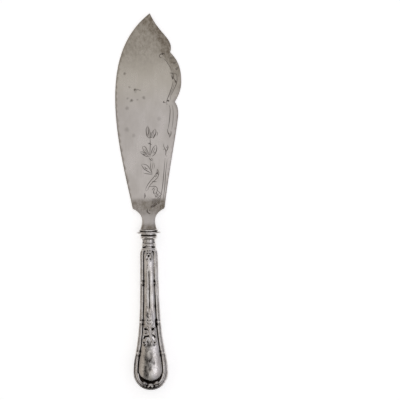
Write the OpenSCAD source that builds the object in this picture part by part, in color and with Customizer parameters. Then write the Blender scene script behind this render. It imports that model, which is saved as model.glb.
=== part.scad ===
// Fish server: a broad silver blade with a scalloped back, on a filled handle of two stamped half
// shells with reeds, ribbons, leaf, scrolls and a plain boss. Millimetres.
// Inside the modules y runs from the butt of the handle to the tip of the blade, x runs across and
// z = 0 is the plane of the handle's seams. The last lines move all pieces to the part's own frame,
// with the blade's flat underside and the lowest point of the handle at z = 0.

/* [Handle] */
// Length of the two half shells, from the butt to the bolster
handle_len = 122.6; // [117:0.1:128]
// Half width of the lobe, which is also the radius of its round end
lobe_w = 13.75; // [12.5:0.05:15]
// Half thickness of the lobe, without the boss
lobe_t = 6.8; // [6.2:0.1:7.6]
// Half width that the shaft narrows to
shaft_w = 6.8; // [6.4:0.1:7.4]
// Half thickness that the shaft narrows to
shaft_t = 4.9; // [4.6:0.1:5.4]
// Distance over which the lobe narrows to the shaft
lobe_taper = 26; // [22:0.5:30]
// Squareness of the handle's oval section, where 2 is an ellipse
section_power = 2.3; // [2:0.1:2.8]
// Wall of the shells behind the deepest groove
shell_wall = 0.6; // [0.4:0.1:0.9]

/* [Reeds, groove and panel] */
// Width of the two reeds along each side of the lobe
reed_band = 3.6; // [3.2:0.1:4]
// Width of the same reeds along the shaft
reed_shaft = 2.6; // [2.3:0.1:3]
// How much wider they are at the butt
reed_widening = 2; // [1.4:0.1:2.2]
// Height of the reeds
reed_h = 0.4; // [0.2:0.05:0.6]
// Width of the groove between the reeds and the panel
groove_w = 0.9; // [0.7:0.1:1.1]
// Depth of that groove
groove_d = 0.85; // [0.5:0.05:1]
// How much wider the groove is below the boss, at the butt
groove_widening = 1.7; // [0.8:0.1:2]
// How far the panel stands out in the middle
panel_h = 0.35; // [0.2:0.05:0.6]
// How far the boss on the lobe stands out beyond the panel
boss_h = 0.55; // [0.3:0.05:0.8]
// Length of the boss from its highest point towards the blade
boss_len = 23; // [18:0.5:26]
// Depth of the valley between the two flutes of the shaft
valley_d = 0.3; // [0.1:0.05:0.4]

/* [Ornament] */
// Places of the three ribbon ties, from the butt
tie_low = 30; // [28.5:0.5:31.5]
tie_mid = 54.5; // [52.5:0.5:56.5]
tie_high = 85.5; // [82.5:0.5:88.5]
// Width of a crossing ribbon
ribbon_w = 1.7; // [1.2:0.1:2.2]
// Height of the ribbons
ribbon_h = 0.35; // [0.2:0.05:0.5]
// Middle of the ribbon bow, from the butt
bow_at = 4; // [3.4:0.1:4.4]
// Height of the eyes of the upper pair of scrolls, from the butt
scroll_at = 49; // [48:0.5:50]
// Height of the scrolls, the leaf and the husk above the panel
carving_h = 0.6; // [0.3:0.05:0.8]
// Length of the leaf above the scrolls
leaf_len = 16; // [14:0.5:18]
// Length of the hanging husk
husk_len = 12; // [10:0.5:14]
// Half width of the husk
husk_w = 2.3; // [1.8:0.1:2.8]

/* [Neck mouldings] */
// Length of the mouldings at the top of the handle
moulding_len = 16.1; // [14:0.1:18]
// Half width of the shoulder
shoulder_w = 6.1; // [5.9:0.05:6.3]
// Half width and half thickness of the ring above the shoulder
ring_w = 5.8; // [5.6:0.05:5.9]
ring_t = 4.5; // [4.3:0.05:4.7]
// Half width and half thickness of the hollow between the ring and the roll
hollow_w = 5.3; // [5.1:0.05:5.5]
hollow_t = 3.7; // [3.6:0.05:3.9]
// Half width and half thickness of the roll at the end of the handle
roll_w = 6.75; // [6.4:0.05:7.1]
roll_t = 5; // [4.8:0.05:5.2]

/* [Bolster and tang] */
// Length of the bolster in front of the handle
bolster_len = 5.3; // [4.9:0.1:5.8]
// Half width of the thin disc
disc_w = 9.7; // [9:0.1:10]
// Thickness of the disc along the handle
disc_len = 1.3; // [1:0.1:1.6]
// Width of the dark gap between the roll and the disc
gap_len = 1.2; // [0.9:0.1:1.5]
// Half width of the rim that the blade's neck comes out of
rim_w = 7.7; // [7.4:0.1:8.1]
// Length of the stub that plugs the handle
stub_len = 10.6; // [9.5:0.1:11.6]
// Half width of the stub
stub_w = 4; // [3.7:0.1:4.2]
// Half thickness of the stub
stub_t = 2.7; // [2.5:0.1:2.8]
// Diameter of the steel tang
tang_d = 3.4; // [3:0.1:3.8]
// Length of the tang
tang_len = 72; // [60:1:80]
// How deep the tang sits in the bolster
tang_seat = 9; // [7:0.5:9.5]
// Clearance of the fitted pieces, filled by solder or cement
fit_gap = 0.04; // [0.02:0.01:0.08]

/* [Blade] */
// Length of the blade from the narrowest point of its neck to its tip
blade_len = 166; // [160:0.5:172]
// Distance from the bolster to the narrowest point of the neck
neck_len = 6.6; // [6.2:0.1:7.2]
// Half width of the neck at its narrowest
neck_w = 5.3; // [5:0.1:5.6]
// How much wider on each side the neck is at the bolster
neck_flare = 1.3; // [0.8:0.1:1.4]
// Half width of the blade at its root
root_w = 13; // [12:0.1:14]
// Place of the root's corners, from the narrowest point of the neck
root_at = 10.3; // [9.3:0.1:11.3]
// How far the curved belly reaches from the handle's middle line
belly_w = 25.5; // [24:0.1:27]
// Place of the belly's widest point
belly_at = 96.5; // [92:0.5:101]
// Reach and place of the lower lobe of the scalloped back
low_lobe_w = 25; // [24.2:0.1:25.8]
low_lobe_at = 86; // [84:0.5:88]
// Reach and place of the lower notch
low_notch_w = 22.4; // [21.6:0.1:23]
low_notch_at = 95.1; // [93:0.1:97]
// Reach and place of the middle lobe
mid_lobe_w = 27.85; // [27:0.05:29]
mid_lobe_at = 112.5; // [110:0.5:115]
// Reach and place of the upper notch
top_notch_w = 19.3; // [18.6:0.1:19.7]
top_notch_at = 135.1; // [133:0.1:137]
// Reach and place of the top lobe
top_lobe_w = 20; // [19.8:0.1:21]
top_lobe_at = 138.5; // [138:0.1:140]
// How far the tip lies off the handle's middle line
tip_w = 3.6; // [2:0.1:5]
// Thickness of the plate
plate_t = 1.6; // [1.2:0.1:2]
// Thickness of the neck where it meets the bolster
neck_t = 4.4; // [3.8:0.1:4.8]
// Radius of the plate's edges
edge_r = 0.5; // [0.2:0.05:0.55]
// Place of the bend that lifts the neck to the handle
root_bend_at = 19; // [17:0.5:21]
// Length over which the tip turns up
tip_bend_len = 46; // [36:1:54]
// How far the tip turns up
tip_rise = 3; // [0:0.1:4]
// Half width of the tongue that sits in the bolster
tongue_w = 4.5; // [4:0.1:4.8]
// Thickness of the tongue
tongue_t = 2.2; // [1.8:0.1:2.6]
// Length of the tongue
tongue_len = 5; // [4:0.1:5.2]

/* [Hidden] */

// Places along the length, from the butt
shoulder_at = handle_len - moulding_len;
stub_at = handle_len - stub_len;
bolster_end = handle_len + bolster_len;
neck_at = bolster_end + neck_len;
total_len = neck_at + blade_len;
boss_at = lobe_w;
panel_end = shoulder_at + 5.5;
leaf_at = scroll_at + 2;
husk_at = panel_end - husk_len;

// Where the middle line of the handle lies in the part's own frame
handle_x = (belly_w - mid_lobe_w) / 2;
handle_z = lobe_t + panel_h + boss_h;

// Share of the neck's fall that is straight, before it rounds into the flat of the blade
straight_fall = 0.78;

// How much squarer the bolster's section is at the rim
rim_square = 0.6;

// Stock that is ground off the blade's underside
ground = 0.04;

// Cavity of the shells
inset = groove_d + shell_wall;
cavity_start = 3.2;

// Numbers of faces
oval_steps = 6;
panel_cells = 8;

silver = [0.66, 0.64, 0.61];
dull_silver = [0.55, 0.53, 0.51];

function bump(x) = x * x > 20 ? 0 : exp(-x * x);
function ease(x) = x <= 0 ? 0 : x >= 1 ? 1 : x * x * (3 - 2 * x);
function between(a, b, steps) = [for (i = [1 : steps]) a + (b - a) * i / steps];
function curve(p0, p1, p2, p3, steps = 14) =
    [for (i = [1 : steps]) let (t = i / steps, s = 1 - t)
        s * s * s * p0 + 3 * s * s * t * p1 + 3 * s * t * t * p2 + t * t * t * p3];

// Oval section as points [x, z], and the same as a ring at y
function oval(w, t, power) =
    [for (i = [0 : 4 * oval_steps - 1]) let (a = 90 * i / oval_steps, c = cos(a), s = sin(a))
        [w * sign(c) * pow(abs(c), 2 / power), t * sign(s) * pow(abs(s), 2 / power)]];
function ring(y, w, t, power = section_power) = [for (p = oval(w, t, power)) [p[0], y, p[1]]];

// Closed skin through rings that all have as many points
module loft(rings) {
    n = len(rings[0]);
    last = len(rings) - 1;
    sides = [for (i = [0 : last - 1], j = [0 : n - 1])
        let (a = i * n + j, b = i * n + (j + 1) % n)
        each [[a, b, b + n], [a, b + n, a + n]]];
    polyhedron([for (r = rings) each r],
        concat(sides, [[for (j = [n - 1 : -1 : 0]) j]], [[for (j = [0 : n - 1]) last * n + j]]));
}

// Handle outline: a round butt, a lobe that narrows to the shaft, and the mouldings at the top
function lobe_share(y) = 1 / (1 + pow(max(0, y - lobe_w) / lobe_taper, 2.2));
function butt_share(y) = sqrt(max(0, 1 - pow(max(0, lobe_w - y) / lobe_w, 2)));
function shaft_half_w(y) = (shaft_w + (lobe_w - shaft_w) * lobe_share(y)) * butt_share(y);
function shaft_half_t(y) = (shaft_t + (lobe_t - shaft_t) * lobe_share(y)) * butt_share(y);
// Mouldings as [distance from the end of the handle, half width, half thickness]
mouldings = [
    [0, roll_w - 0.45, roll_t - 0.4], [0.5, roll_w - 0.05, roll_t - 0.05], [1.1, roll_w, roll_t],
    [1.7, roll_w - 0.15, roll_t - 0.15], [2.2, roll_w - 0.75, roll_t - 0.7],
    [2.6, hollow_w + 0.25, hollow_t + 0.15], [3.4, hollow_w, hollow_t], [5.1, hollow_w, hollow_t],
    [5.8, hollow_w + 0.05, hollow_t + 0.05], [6.2, ring_w - 0.3, ring_t - 0.3], [6.7, ring_w, ring_t],
    [7.6, ring_w, ring_t], [8.1, ring_w - 0.25, ring_t - 0.3], [8.5, ring_w - 0.35, ring_t - 0.55],
    [9.2, ring_w - 0.3, ring_t - 0.5], [9.7, shoulder_w - 0.15, ring_t],
    [11, shoulder_w + 0.4, shaft_half_t(shoulder_at) - 0.2],
    [13, shaft_half_w(shoulder_at) - 0.2, shaft_half_t(shoulder_at)],
    [moulding_len, shaft_half_w(shoulder_at), shaft_half_t(shoulder_at)]];
moulding_widths = [for (m = mouldings) [m[0], m[1]]];
moulding_depths = [for (m = mouldings) [m[0], m[2]]];
function handle_half_w(y) =
    y < shoulder_at ? shaft_half_w(y) : lookup(handle_len - y, moulding_widths);
function handle_half_t(y) =
    y < shoulder_at ? shaft_half_t(y) : lookup(handle_len - y, moulding_depths);

// Distance in from the outline, and how squarely a point faces the butt, 1 on the middle line
function edge_inset(x, y) = y < lobe_w ? lobe_w - norm([x, lobe_w - y]) : handle_half_w(y) - abs(x);
function butt_facing(x, y) = y < lobe_w ? pow((lobe_w - y) / norm([x, lobe_w - y]), 2) : 0;
function reeds(y) = reed_shaft + (reed_band - reed_shaft) * lobe_share(y);
function band_end(x, y) = reeds(y) + reed_widening * butt_facing(x, y);
function groove_end(x, y) = band_end(x, y) + groove_w + groove_widening * butt_facing(x, y);

function reed_relief(q, band) = reed_h * abs(sin(360 * q / band));
function groove_relief(q, start, end) = -groove_d * sin(180 * (q - start) / (end - start));
function panel_relief(x, y, q, start) =
    let (reach = y < lobe_w ? lobe_w - reed_band - groove_w : handle_half_w(y) - start,
        side = 1 - min(1, (q - start) / max(0.1, reach)),
        swell = y < boss_at ? 1 : max(0, 1 - pow((y - boss_at) / boss_len, 2)))
    (panel_h + boss_h * swell) * (1 - side * side);
// Two flutes that meet in a valley along the middle of the shaft
function flute_relief(x, y) =
    -valley_d * ease((y - leaf_at - leaf_len + 5) / 6) * ease((husk_at + 1 - y) / 5) * bump(x / 0.75);

// Two ribbons that cross over the reeds
function tie_relief(q, band, y, at) =
    let (lean = (q - band / 2) * 0.7, half = ribbon_w / 2)
    ribbon_h * max(bump((y - at - lean) / half), bump((y - at + lean) / half))
        * sin(180 * min(1, q / band));
// Two loops and a knot
function bow_relief(x, y) =
    let (loop = norm([(abs(x) - 2.6) / 1.3, y - bow_at]))
    ribbon_h * (bump((loop - 1.2) / 0.5) + 1.3 * bump(norm([x, y - bow_at]) / 0.8));
// Two pairs of C scrolls with a bead and two sunk eyes between leaf and boss
function scroll_relief(x, y) =
    let (upper = norm([abs(x) - 2.5, y - scroll_at + 3.4]),
        lower = norm([abs(x) - 3.9, y - scroll_at + 9.6]))
    carving_h * (bump((upper - 1.7) / 0.6) + bump((lower - 1.6) / 0.6)
        + bump(norm([x, y - scroll_at]) / 0.9) - 1.6 * bump(norm([abs(x) - 2.8, y - scroll_at]) / 0.9));
// Pointed leaf with lobes that slant up from its middle rib
function leaf_relief(x, y) =
    let (rise = (y - leaf_at) / leaf_len,
        half = 3.6 * sqrt(max(0, 1 - rise)))
    rise < 0 || rise >= 1 || abs(x) > half ? 0
        : carving_h * (1 - pow(abs(x) / half, 2)) * (0.7 + 0.3 * cos(360 * (y - 1.3 * abs(x)) / 3.4));
// Hanging husk, wide at the top and pointed below
function husk_relief(x, y) =
    let (rise = (y - husk_at) / husk_len,
        half = husk_w * (0.15 + 0.85 * sin(180 * pow(max(0, min(1, rise)), 1.4))))
    rise < 0 || rise > 1 || abs(x) > half ? 0 : carving_h * (1 - pow(abs(x) / half, 2));

// Height of the handle's surface over the seam plane
function shell_z(x, y) =
    let (w = handle_half_w(y), share = min(1, abs(x) / w), q = edge_inset(x, y),
        band = band_end(x, y), inner = groove_end(x, y), fade = ease((panel_end - y) / 2),
        base = handle_half_t(y) * pow(max(0, 1 - pow(share, section_power)), 1 / section_power),
        border = q < band ? reed_relief(q, band) + tie_relief(q, band, y, tie_low)
                + tie_relief(q, band, y, tie_mid) + tie_relief(q, band, y, tie_high)
            : q < inner ? groove_relief(q, band, inner)
            : panel_relief(x, y, q, inner) + flute_relief(x, y),
        carving = q > inner ? scroll_relief(x, y) + leaf_relief(x, y) + husk_relief(x, y)
            : q > 0.5 && q < band && y < lobe_w / 2 ? bow_relief(x, y) : 0)
    base + fade * min(1, q / 0.6) * (border + carving);

// Points across the handle, closest together over the reeds and the groove
function across(y) =
    let (w = handle_half_w(y), band = reeds(y), k = min(1, w / 1.3 / (band + groove_w)),
        side = [for (s = [0, 0.035, 0.15, 0.3, 0.5, 0.75, 1]) w - k * s * band],
        groove = [for (s = [0.5, 1]) w - k * (band + s * groove_w)],
        g = groove[1],
        right = concat(side, groove),
        panel = [for (i = [1 : panel_cells - 1]) g * (1 - 2 * i / panel_cells)])
    concat(right, panel, [for (i = [len(right) - 1 : -1 : 0]) -right[i]]);

handle_places = concat(between(0, 8, 14), between(8, lobe_w, 5), between(lobe_w, tie_low - 2, 6),
    between(tie_low - 2, tie_low + 2, 4), between(tie_low + 2, scroll_at - 12, 3),
    between(scroll_at - 12, leaf_at, 14), between(leaf_at, tie_mid + 2, 6),
    between(tie_mid + 2, leaf_at + leaf_len, 9), between(leaf_at + leaf_len, tie_high - 2, 4),
    between(tie_high - 2, tie_high + 2, 4), between(tie_high + 2, husk_at, 4),
    between(husk_at, shoulder_at, 6),
    [for (i = [len(mouldings) - 2 : -1 : 0]) handle_len - mouldings[i][0]]);

// Cavity: the handle's outline set in, then the socket for the bolster's stub
cavity_places = concat([cavity_start], between(cavity_start, lobe_w, 4), between(lobe_w, 40, 4),
    between(40, shoulder_at, 4), [stub_at]);
function cavity_ring(y, less = 0) =
    ring(y, handle_half_w(y) - inset - less, handle_half_t(y) - inset - less);
socket_rings = [for (y = [stub_at, handle_len]) ring(y, stub_w + fit_gap, stub_t + fit_gap)];

module half_shell() {
    outer = [for (y = handle_places) [for (x = across(y)) [x, y, abs(x) >= handle_half_w(y) ? 0
        : shell_z(x, y)]]];
    inner = [for (r = concat([for (y = cavity_places) cavity_ring(y)], socket_rings))
        [for (i = [0 : 2 * oval_steps]) r[i]]];
    n = len(outer[0]);
    m = len(inner[0]);
    rows = len(outer);
    inner_rows = len(inner);
    // The pole at the butt is point 0
    first = 1;
    inside = first + rows * n;
    fan = [for (j = [0 : n - 2]) [0, first + j + 1, first + j]];
    skin = [for (i = [0 : rows - 2], j = [0 : n - 2]) let (a = first + i * n + j)
        each [[a, a + 1, a + 1 + n], [a, a + 1 + n, a + n]]];
    lining = [for (i = [0 : inner_rows - 2], j = [0 : m - 2]) let (a = inside + i * m + j)
        each [[a, a + 1 + m, a + 1], [a, a + m, a + 1 + m]]];
    floor_face = [[for (j = [0 : m - 1]) inside + j]];
    // The open end, as a right and a left half
    rim = first + (rows - 1) * n;
    mouth = inside + (inner_rows - 1) * m;
    end_face = [for (side = [0, 1])
        concat([for (j = [0 : (n - 1) / 2]) rim + side * (n - 1) / 2 + j],
            [for (j = [(m - 1) / 2 : -1 : 0]) mouth + side * (m - 1) / 2 + j])];
    // The seam face, from each row of the lining out to the skin's next rows
    seat = [for (r = inner) len([for (y = handle_places) if (y < r[0][1] - 0.001) y])];
    seam_butt = [concat([0], [for (i = [0 : seat[0]]) first + i * n], [inside, inside + m - 1],
        [for (i = [seat[0] : -1 : 0]) first + i * n + n - 1])];
    seam_right = [for (k = [0 : inner_rows - 2])
        concat([for (i = [seat[k] : seat[k + 1]]) first + i * n],
            [inside + (k + 1) * m, inside + k * m])];
    seam_left = [for (k = [0 : inner_rows - 2])
        concat([for (i = [seat[k + 1] : -1 : seat[k]]) first + i * n + n - 1],
            [inside + k * m + m - 1, inside + (k + 1) * m + m - 1])];
    polyhedron(concat([[0, 0, 0]], [for (r = outer) each r], [for (r = inner) each r]),
        concat(fan, skin, lining, floor_face, end_face, seam_butt, seam_right, seam_left));
}

// Moves a piece from the handle's own axes to the part's frame
module placed() {
    translate([handle_x, -total_len / 2, handle_z]) children();
}

module handle_front() {
    color(silver) placed() half_shell();
}

module handle_back() {
    color(silver) placed() mirror([0, 0, 1]) half_shell();
}

module tang_bar(gap = 0) {
    translate([0, stub_at + tang_seat - tang_len - gap, 0]) rotate([-90, 0, 0])
        cylinder(d = tang_d + 2 * gap, h = tang_len + 2 * gap, $fn = 48);
}

module tang() {
    color("dimgray") placed() tang_bar();
}

module handle_filler() {
    color("sienna") placed() difference() {
        loft([for (y = cavity_places) cavity_ring(y == cavity_start ? y + fit_gap
            : y == stub_at ? y - fit_gap : y, fit_gap)]);
        tang_bar(fit_gap);
    }
}

// Bolster, from the stub to the rim that the blade's neck comes out of
module bolster() {
    disc_at = handle_len + gap_len;
    rim_at = disc_at + disc_len + 0.9;
    rim_len = bolster_end - rim_at;
    collar_w = roll_w - 0.45;
    collar_t = roll_t - 0.6;
    disc_t = 0.7 * disc_w;
    rim_t = 0.62 * rim_w;
    // As [place, half width, half thickness]
    steps = [
        [handle_len, collar_w, collar_t], [disc_at, collar_w, collar_t],
        [disc_at, disc_w - 0.6, disc_t - 0.6], [disc_at + 0.3, disc_w, disc_t],
        [disc_at + disc_len - 0.3, disc_w, disc_t], [disc_at + disc_len, disc_w - 0.6, disc_t - 0.6],
        [disc_at + disc_len, rim_w - 0.9, rim_t - 0.6], [rim_at - 0.1, rim_w - 0.9, rim_t - 0.6],
        [rim_at, rim_w - 0.15, rim_t - 0.1], [rim_at + 0.25 * rim_len, rim_w, rim_t],
        [rim_at + 0.6 * rim_len, rim_w - 0.25, rim_t - 0.25],
        [rim_at + 0.85 * rim_len, rim_w - 0.55, rim_t - 0.75],
        [bolster_end, neck_w + neck_flare + 0.15, neck_t / 2 + 0.9]];
    color(silver) placed() difference() {
        loft(concat([for (y = [stub_at, handle_len]) ring(y, stub_w, stub_t)],
            [for (s = steps) ring(s[0], s[1], s[2],
                section_power + rim_square * ease((s[0] - rim_at) / rim_len))]));
        translate([0, bolster_end - tongue_len / 2 - fit_gap / 2, 0])
            cube([2 * (tongue_w + fit_gap), tongue_len + fit_gap, tongue_t + 2 * fit_gap], center = true);
        tang_bar(fit_gap);
    }
}

// Blade outline, from the neck to the tip: belly and back as [place, reach] tables.
// Places here count from the narrowest point of the neck.
root_span = belly_at - root_at;
neck_curve = concat([[-neck_len, neck_w + neck_flare]],
    curve([-neck_len, neck_w + neck_flare], [-0.7 * neck_len, neck_w + 0.4 * neck_flare],
        [-0.3 * neck_len, neck_w], [0, neck_w], 4),
    curve([0, neck_w], [1.5, neck_w], [root_at - 3.8, neck_w + 0.2], [root_at - 0.6, root_w - 0.4]));
belly_table = concat(neck_curve,
    curve([root_at + 0.8, root_w], [root_at + 0.39 * root_span, root_w + 7],
        [belly_at - 27, belly_w], [belly_at, belly_w]),
    curve([belly_at, belly_w], [belly_at + 29, belly_w], [blade_len - 16, belly_w - 7],
        [blade_len, -tip_w]));
back_table = concat(neck_curve,
    curve([root_at + 0.8, root_w], [root_at + 32, root_w + 4], [low_lobe_at - 7.6, low_lobe_w],
        [low_lobe_at, low_lobe_w]),
    curve([low_lobe_at, low_lobe_w], [low_lobe_at + 4, low_lobe_w],
        [low_notch_at - 2.4, low_notch_w + 1.9], [low_notch_at, low_notch_w]),
    curve([low_notch_at, low_notch_w], [low_notch_at + 6.9, mid_lobe_w - 1.2],
        [mid_lobe_at - 6, mid_lobe_w], [mid_lobe_at, mid_lobe_w]),
    curve([mid_lobe_at, mid_lobe_w], [mid_lobe_at + 11.7, mid_lobe_w],
        [top_notch_at - 5.4, top_notch_w + 4.9], [top_notch_at, top_notch_w]),
    curve([top_notch_at, top_notch_w], [top_notch_at + 1.1, top_notch_w + 0.5],
        [top_lobe_at - 1.1, top_lobe_w], [top_lobe_at, top_lobe_w]),
    curve([top_lobe_at, top_lobe_w], [top_lobe_at + 8.5, top_lobe_w],
        [blade_len - 15, tip_w + 6.4], [blade_len, tip_w]));
blade_places = concat([-neck_len], between(-neck_len, 0, 4), between(0, root_at - 0.6, 6),
    [root_at + 0.8], between(root_at + 0.8, root_bend_at, 5), between(root_bend_at, low_lobe_at, 13),
    between(low_lobe_at, low_notch_at, 5), between(low_notch_at, mid_lobe_at, 6),
    between(mid_lobe_at, top_notch_at, 8), between(top_notch_at, top_lobe_at, 2),
    between(top_lobe_at, blade_len - 6, 9), between(blade_len - 6, blade_len, 6));

function blade_thickness(b) = neck_t + (plate_t - neck_t) * ease((b + neck_len) / (root_at + neck_len));
// Share of the neck's fall at s, from 0 at the bolster to 1 where the blade is flat
function fall(s) =
    s < straight_fall ? 2 * s / (1 + straight_fall)
    : s < 1 ? 1 - (1 - s) * (1 - s) / (1 - straight_fall * straight_fall)
    : 1;
// Height of the plate's middle over the handle's middle line
function blade_middle(b) =
    let (tip_bend_at = blade_len - tip_bend_len, up = max(0, b - tip_bend_at) / tip_bend_len)
    (plate_t / 2 - handle_z) * fall((b + neck_len) / (root_bend_at + neck_len)) + tip_rise * up * up;

// Rounded rectangle as a ring at y, from x0 to x1
function plate_ring(y, x0, x1, mid, t, r) =
    [for (k = [0 : 3], i = [0 : 2]) let (a = 90 * k + 45 * i,
        cx = k == 0 || k == 3 ? x1 - r : x0 + r, cz = mid + (k < 2 ? 1 : -1) * (t / 2 - r))
        [cx + r * cos(a), y, cz + r * sin(a)]];
function blade_ring(b) =
    let (x0 = -lookup(b, belly_table), x1 = lookup(b, back_table), t = blade_thickness(b),
        full = max(0.3, x1 - x0), middle = (x0 + x1) / 2,
        r = min(full / 2.1, t / 2.1, edge_r * pow(t / plate_t, 1.4)))
    plate_ring(neck_at + b, middle - full / 2, middle + full / 2, blade_middle(b) - ground / 2,
        t + ground, r);

module blade() {
    tongue = [for (y = [bolster_end - tongue_len, bolster_end])
        plate_ring(y, -tongue_w, tongue_w, 0, tongue_t, 0.02)];
    color(dull_silver) placed() difference() {
        loft(concat(tongue, [for (b = blade_places) blade_ring(b)]));
        // The underside is ground flat
        translate([-2 * belly_w, neck_at, -handle_z - 3]) cube([4 * belly_w, blade_len + 1, 3]);
    }
}

blade();
bolster();
tang();
handle_front();
handle_back();
handle_filler();
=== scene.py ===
# Fish server in silver: an engraved slice on a filled handle, lying on a white table.
# Lengths are millimetres in the handle's own axes (across, from the butt, above the seam)
# until inFrame() puts them in the frame, in metres.
import math

import bmesh
import bpy
import numpy as np
from mathutils import Matrix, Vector
from mathutils.geometry import delaunay_2d_cdt


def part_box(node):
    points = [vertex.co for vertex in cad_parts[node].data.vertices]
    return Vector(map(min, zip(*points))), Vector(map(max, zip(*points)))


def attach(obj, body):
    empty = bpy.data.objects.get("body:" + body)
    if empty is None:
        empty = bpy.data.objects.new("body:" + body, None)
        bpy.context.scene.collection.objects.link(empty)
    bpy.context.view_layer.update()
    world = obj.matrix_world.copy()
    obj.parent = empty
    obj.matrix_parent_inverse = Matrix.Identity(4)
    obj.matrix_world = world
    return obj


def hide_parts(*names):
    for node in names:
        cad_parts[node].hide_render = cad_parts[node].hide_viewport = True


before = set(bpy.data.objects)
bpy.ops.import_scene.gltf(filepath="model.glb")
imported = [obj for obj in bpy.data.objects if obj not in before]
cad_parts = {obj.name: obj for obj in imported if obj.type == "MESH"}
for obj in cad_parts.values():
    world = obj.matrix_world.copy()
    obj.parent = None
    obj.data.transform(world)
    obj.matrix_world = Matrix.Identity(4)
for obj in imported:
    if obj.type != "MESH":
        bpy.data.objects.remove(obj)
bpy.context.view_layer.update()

mm = 0.001
handleLow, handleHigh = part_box("handle_front")
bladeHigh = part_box("blade")[1]
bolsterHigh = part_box("bolster")[1]
tangLow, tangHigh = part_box("tang")
axisX = (handleLow[0] + handleHigh[0]) / 2
buttY = handleLow[1]
seamZ = handleLow[2]


def inFrame(points):
    return np.asarray(points, float) * mm + np.array([axisX, buttY, seamZ])


# Small tools for shapes

def ease(x):
    x = np.clip(x, 0, 1)
    return x * x * (3 - 2 * x)


def bump(x):
    return np.exp(-np.square(x))


def within(y, start, rise, end, fall):
    # 1 between two places, with a soft start and a soft end
    return ease((y - start) / rise) * ease((end - y) / fall)


def through(points, step):
    # A smooth curve through the points, sampled about every step
    p = np.asarray(points, float)
    p = np.vstack([2 * p[0] - p[1], p, 2 * p[-1] - p[-2]])
    out = []
    for a, b, c, d in zip(p[:-3], p[1:-2], p[2:-1], p[3:]):
        n = max(2, int(np.linalg.norm(c - b) / step))
        t = (np.arange(n) / n)[:, None]
        out.append(b + 0.5 * t * (c - a + t * (2 * a - 5 * b + 4 * c - d + t * (3 * (b - c) + d - a))))
    return np.vstack(out + [p[-2:-1]])


def bezier(p0, p1, p2, p3, steps):
    t = np.linspace(0, 1, steps + 1)[1:, None]
    p0, p1, p2, p3 = (np.asarray(p, float) for p in (p0, p1, p2, p3))
    return (1 - t) ** 3 * p0 + 3 * (1 - t) ** 2 * t * p1 + 3 * (1 - t) * t * t * p2 + t ** 3 * p3


def nearest(line, widths, x, y):
    # Distance from each point (x, y) to the line, and the line's width there
    best = np.full(np.shape(x), 1e9)
    wide = np.full(np.shape(x), 1.0)
    for (ax, ay), (bx, by), wa, wb in zip(line[:-1], line[1:], widths[:-1], widths[1:]):
        dx, dy = bx - ax, by - ay
        t = np.clip(((x - ax) * dx + (y - ay) * dy) / max(dx * dx + dy * dy, 1e-12), 0, 1)
        d = np.hypot(x - ax - t * dx, y - ay - t * dy)
        w = wa + (wb - wa) * t
        closer = d < best
        best = np.where(closer, d, best)
        wide = np.where(closer, w, wide)
    return best, wide


def makeObject(name, points, faces, attributes=None, sharpAngle=None, sharpEdges=()):
    mesh = bpy.data.meshes.new(name)
    mesh.from_pydata(inFrame(points).tolist(), [], [tuple(int(i) for i in f) for f in faces])
    for key, values in (attributes or {}).items():
        layer = mesh.attributes.new(key, "FLOAT", "POINT")
        layer.data.foreach_set("value", np.asarray(values, np.float32))
    mesh.shade_smooth()
    if sharpAngle:
        mesh.set_sharp_from_angle(angle=math.radians(sharpAngle))
    if len(sharpEdges):
        wanted = {tuple(sorted(e)) for e in sharpEdges}
        layer = mesh.attributes.get("sharp_edge")
        layer = layer or mesh.attributes.new("sharp_edge", "BOOLEAN", "EDGE")
        for edge in mesh.edges:
            if tuple(sorted(edge.vertices)) in wanted:
                layer.data[edge.index].value = True
    piece = bpy.data.objects.new(name, mesh)
    bpy.context.scene.collection.objects.link(piece)
    return piece


# Materials

def hexColor(text):
    # sRGB hex to a linear colour with alpha
    parts = [int(text[i:i + 2], 16) / 255 for i in (1, 3, 5)]
    return [c / 12.92 if c <= 0.04045 else ((c + 0.055) / 1.055) ** 2.4 for c in parts] + [1.0]


def addNode(tree, kind, settings=None, out=0, **inputs):
    # Returns one output of the new node. An input is a value or the socket that feeds it,
    # and _2 names the third socket.
    node = tree.nodes.new(kind)
    for key, value in (settings or {}).items():
        setattr(node, key, value)
    for key, value in inputs.items():
        socket = node.inputs[int(key[1:])] if key[0] == "_" else node.inputs[key.replace("_", " ")]
        if isinstance(value, bpy.types.NodeSocket):
            tree.links.new(value, socket)
        else:
            socket.default_value = value
    return node.outputs[out] if len(node.outputs) else None


def newMaterial(name):
    material = bpy.data.materials.new(name)
    material.use_nodes = True
    material.node_tree.nodes.clear()
    return material, material.node_tree


def coats(tree, base, *layers):
    # Lays each (share, colour) over the colour before it
    for share, color in layers:
        base = addNode(tree, "ShaderNodeMix", {"data_type": "RGBA"}, 2, _0=share, _6=base,
                       _7=hexColor(color))
    return base


smooth = {"interpolation_type": "SMOOTHSTEP"}
add, less, times, most = ({"operation": name} for name in ("ADD", "SUBTRACT", "MULTIPLY", "MAXIMUM"))


def grain(tree, across, along, low=0.35, high=0.65, strength=1.0, detail=3.0):
    # Grains of that many millimetres across and along, from 0 to the strength
    place = addNode(tree, "ShaderNodeTexCoord", None, "Object")
    scale = (1 / (across * mm), 1 / (along * mm), 1 / (across * mm))
    turned = addNode(tree, "ShaderNodeMapping", None, Vector=place, Scale=scale)
    noise = addNode(tree, "ShaderNodeTexNoise", None, Vector=turned, Scale=1.0, Detail=detail,
                    Roughness=0.6)
    return addNode(tree, "ShaderNodeMapRange", smooth, _0=noise, _1=low, _2=high, _4=strength)


def worked(tree, name, low, high, strength=1.0):
    # A value that the mesh carries, spread from 0 to the strength
    value = addNode(tree, "ShaderNodeAttribute", {"attribute_name": name}, "Fac")
    return addNode(tree, "ShaderNodeMapRange", smooth, _0=value, _1=low, _2=high, _4=strength)


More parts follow.
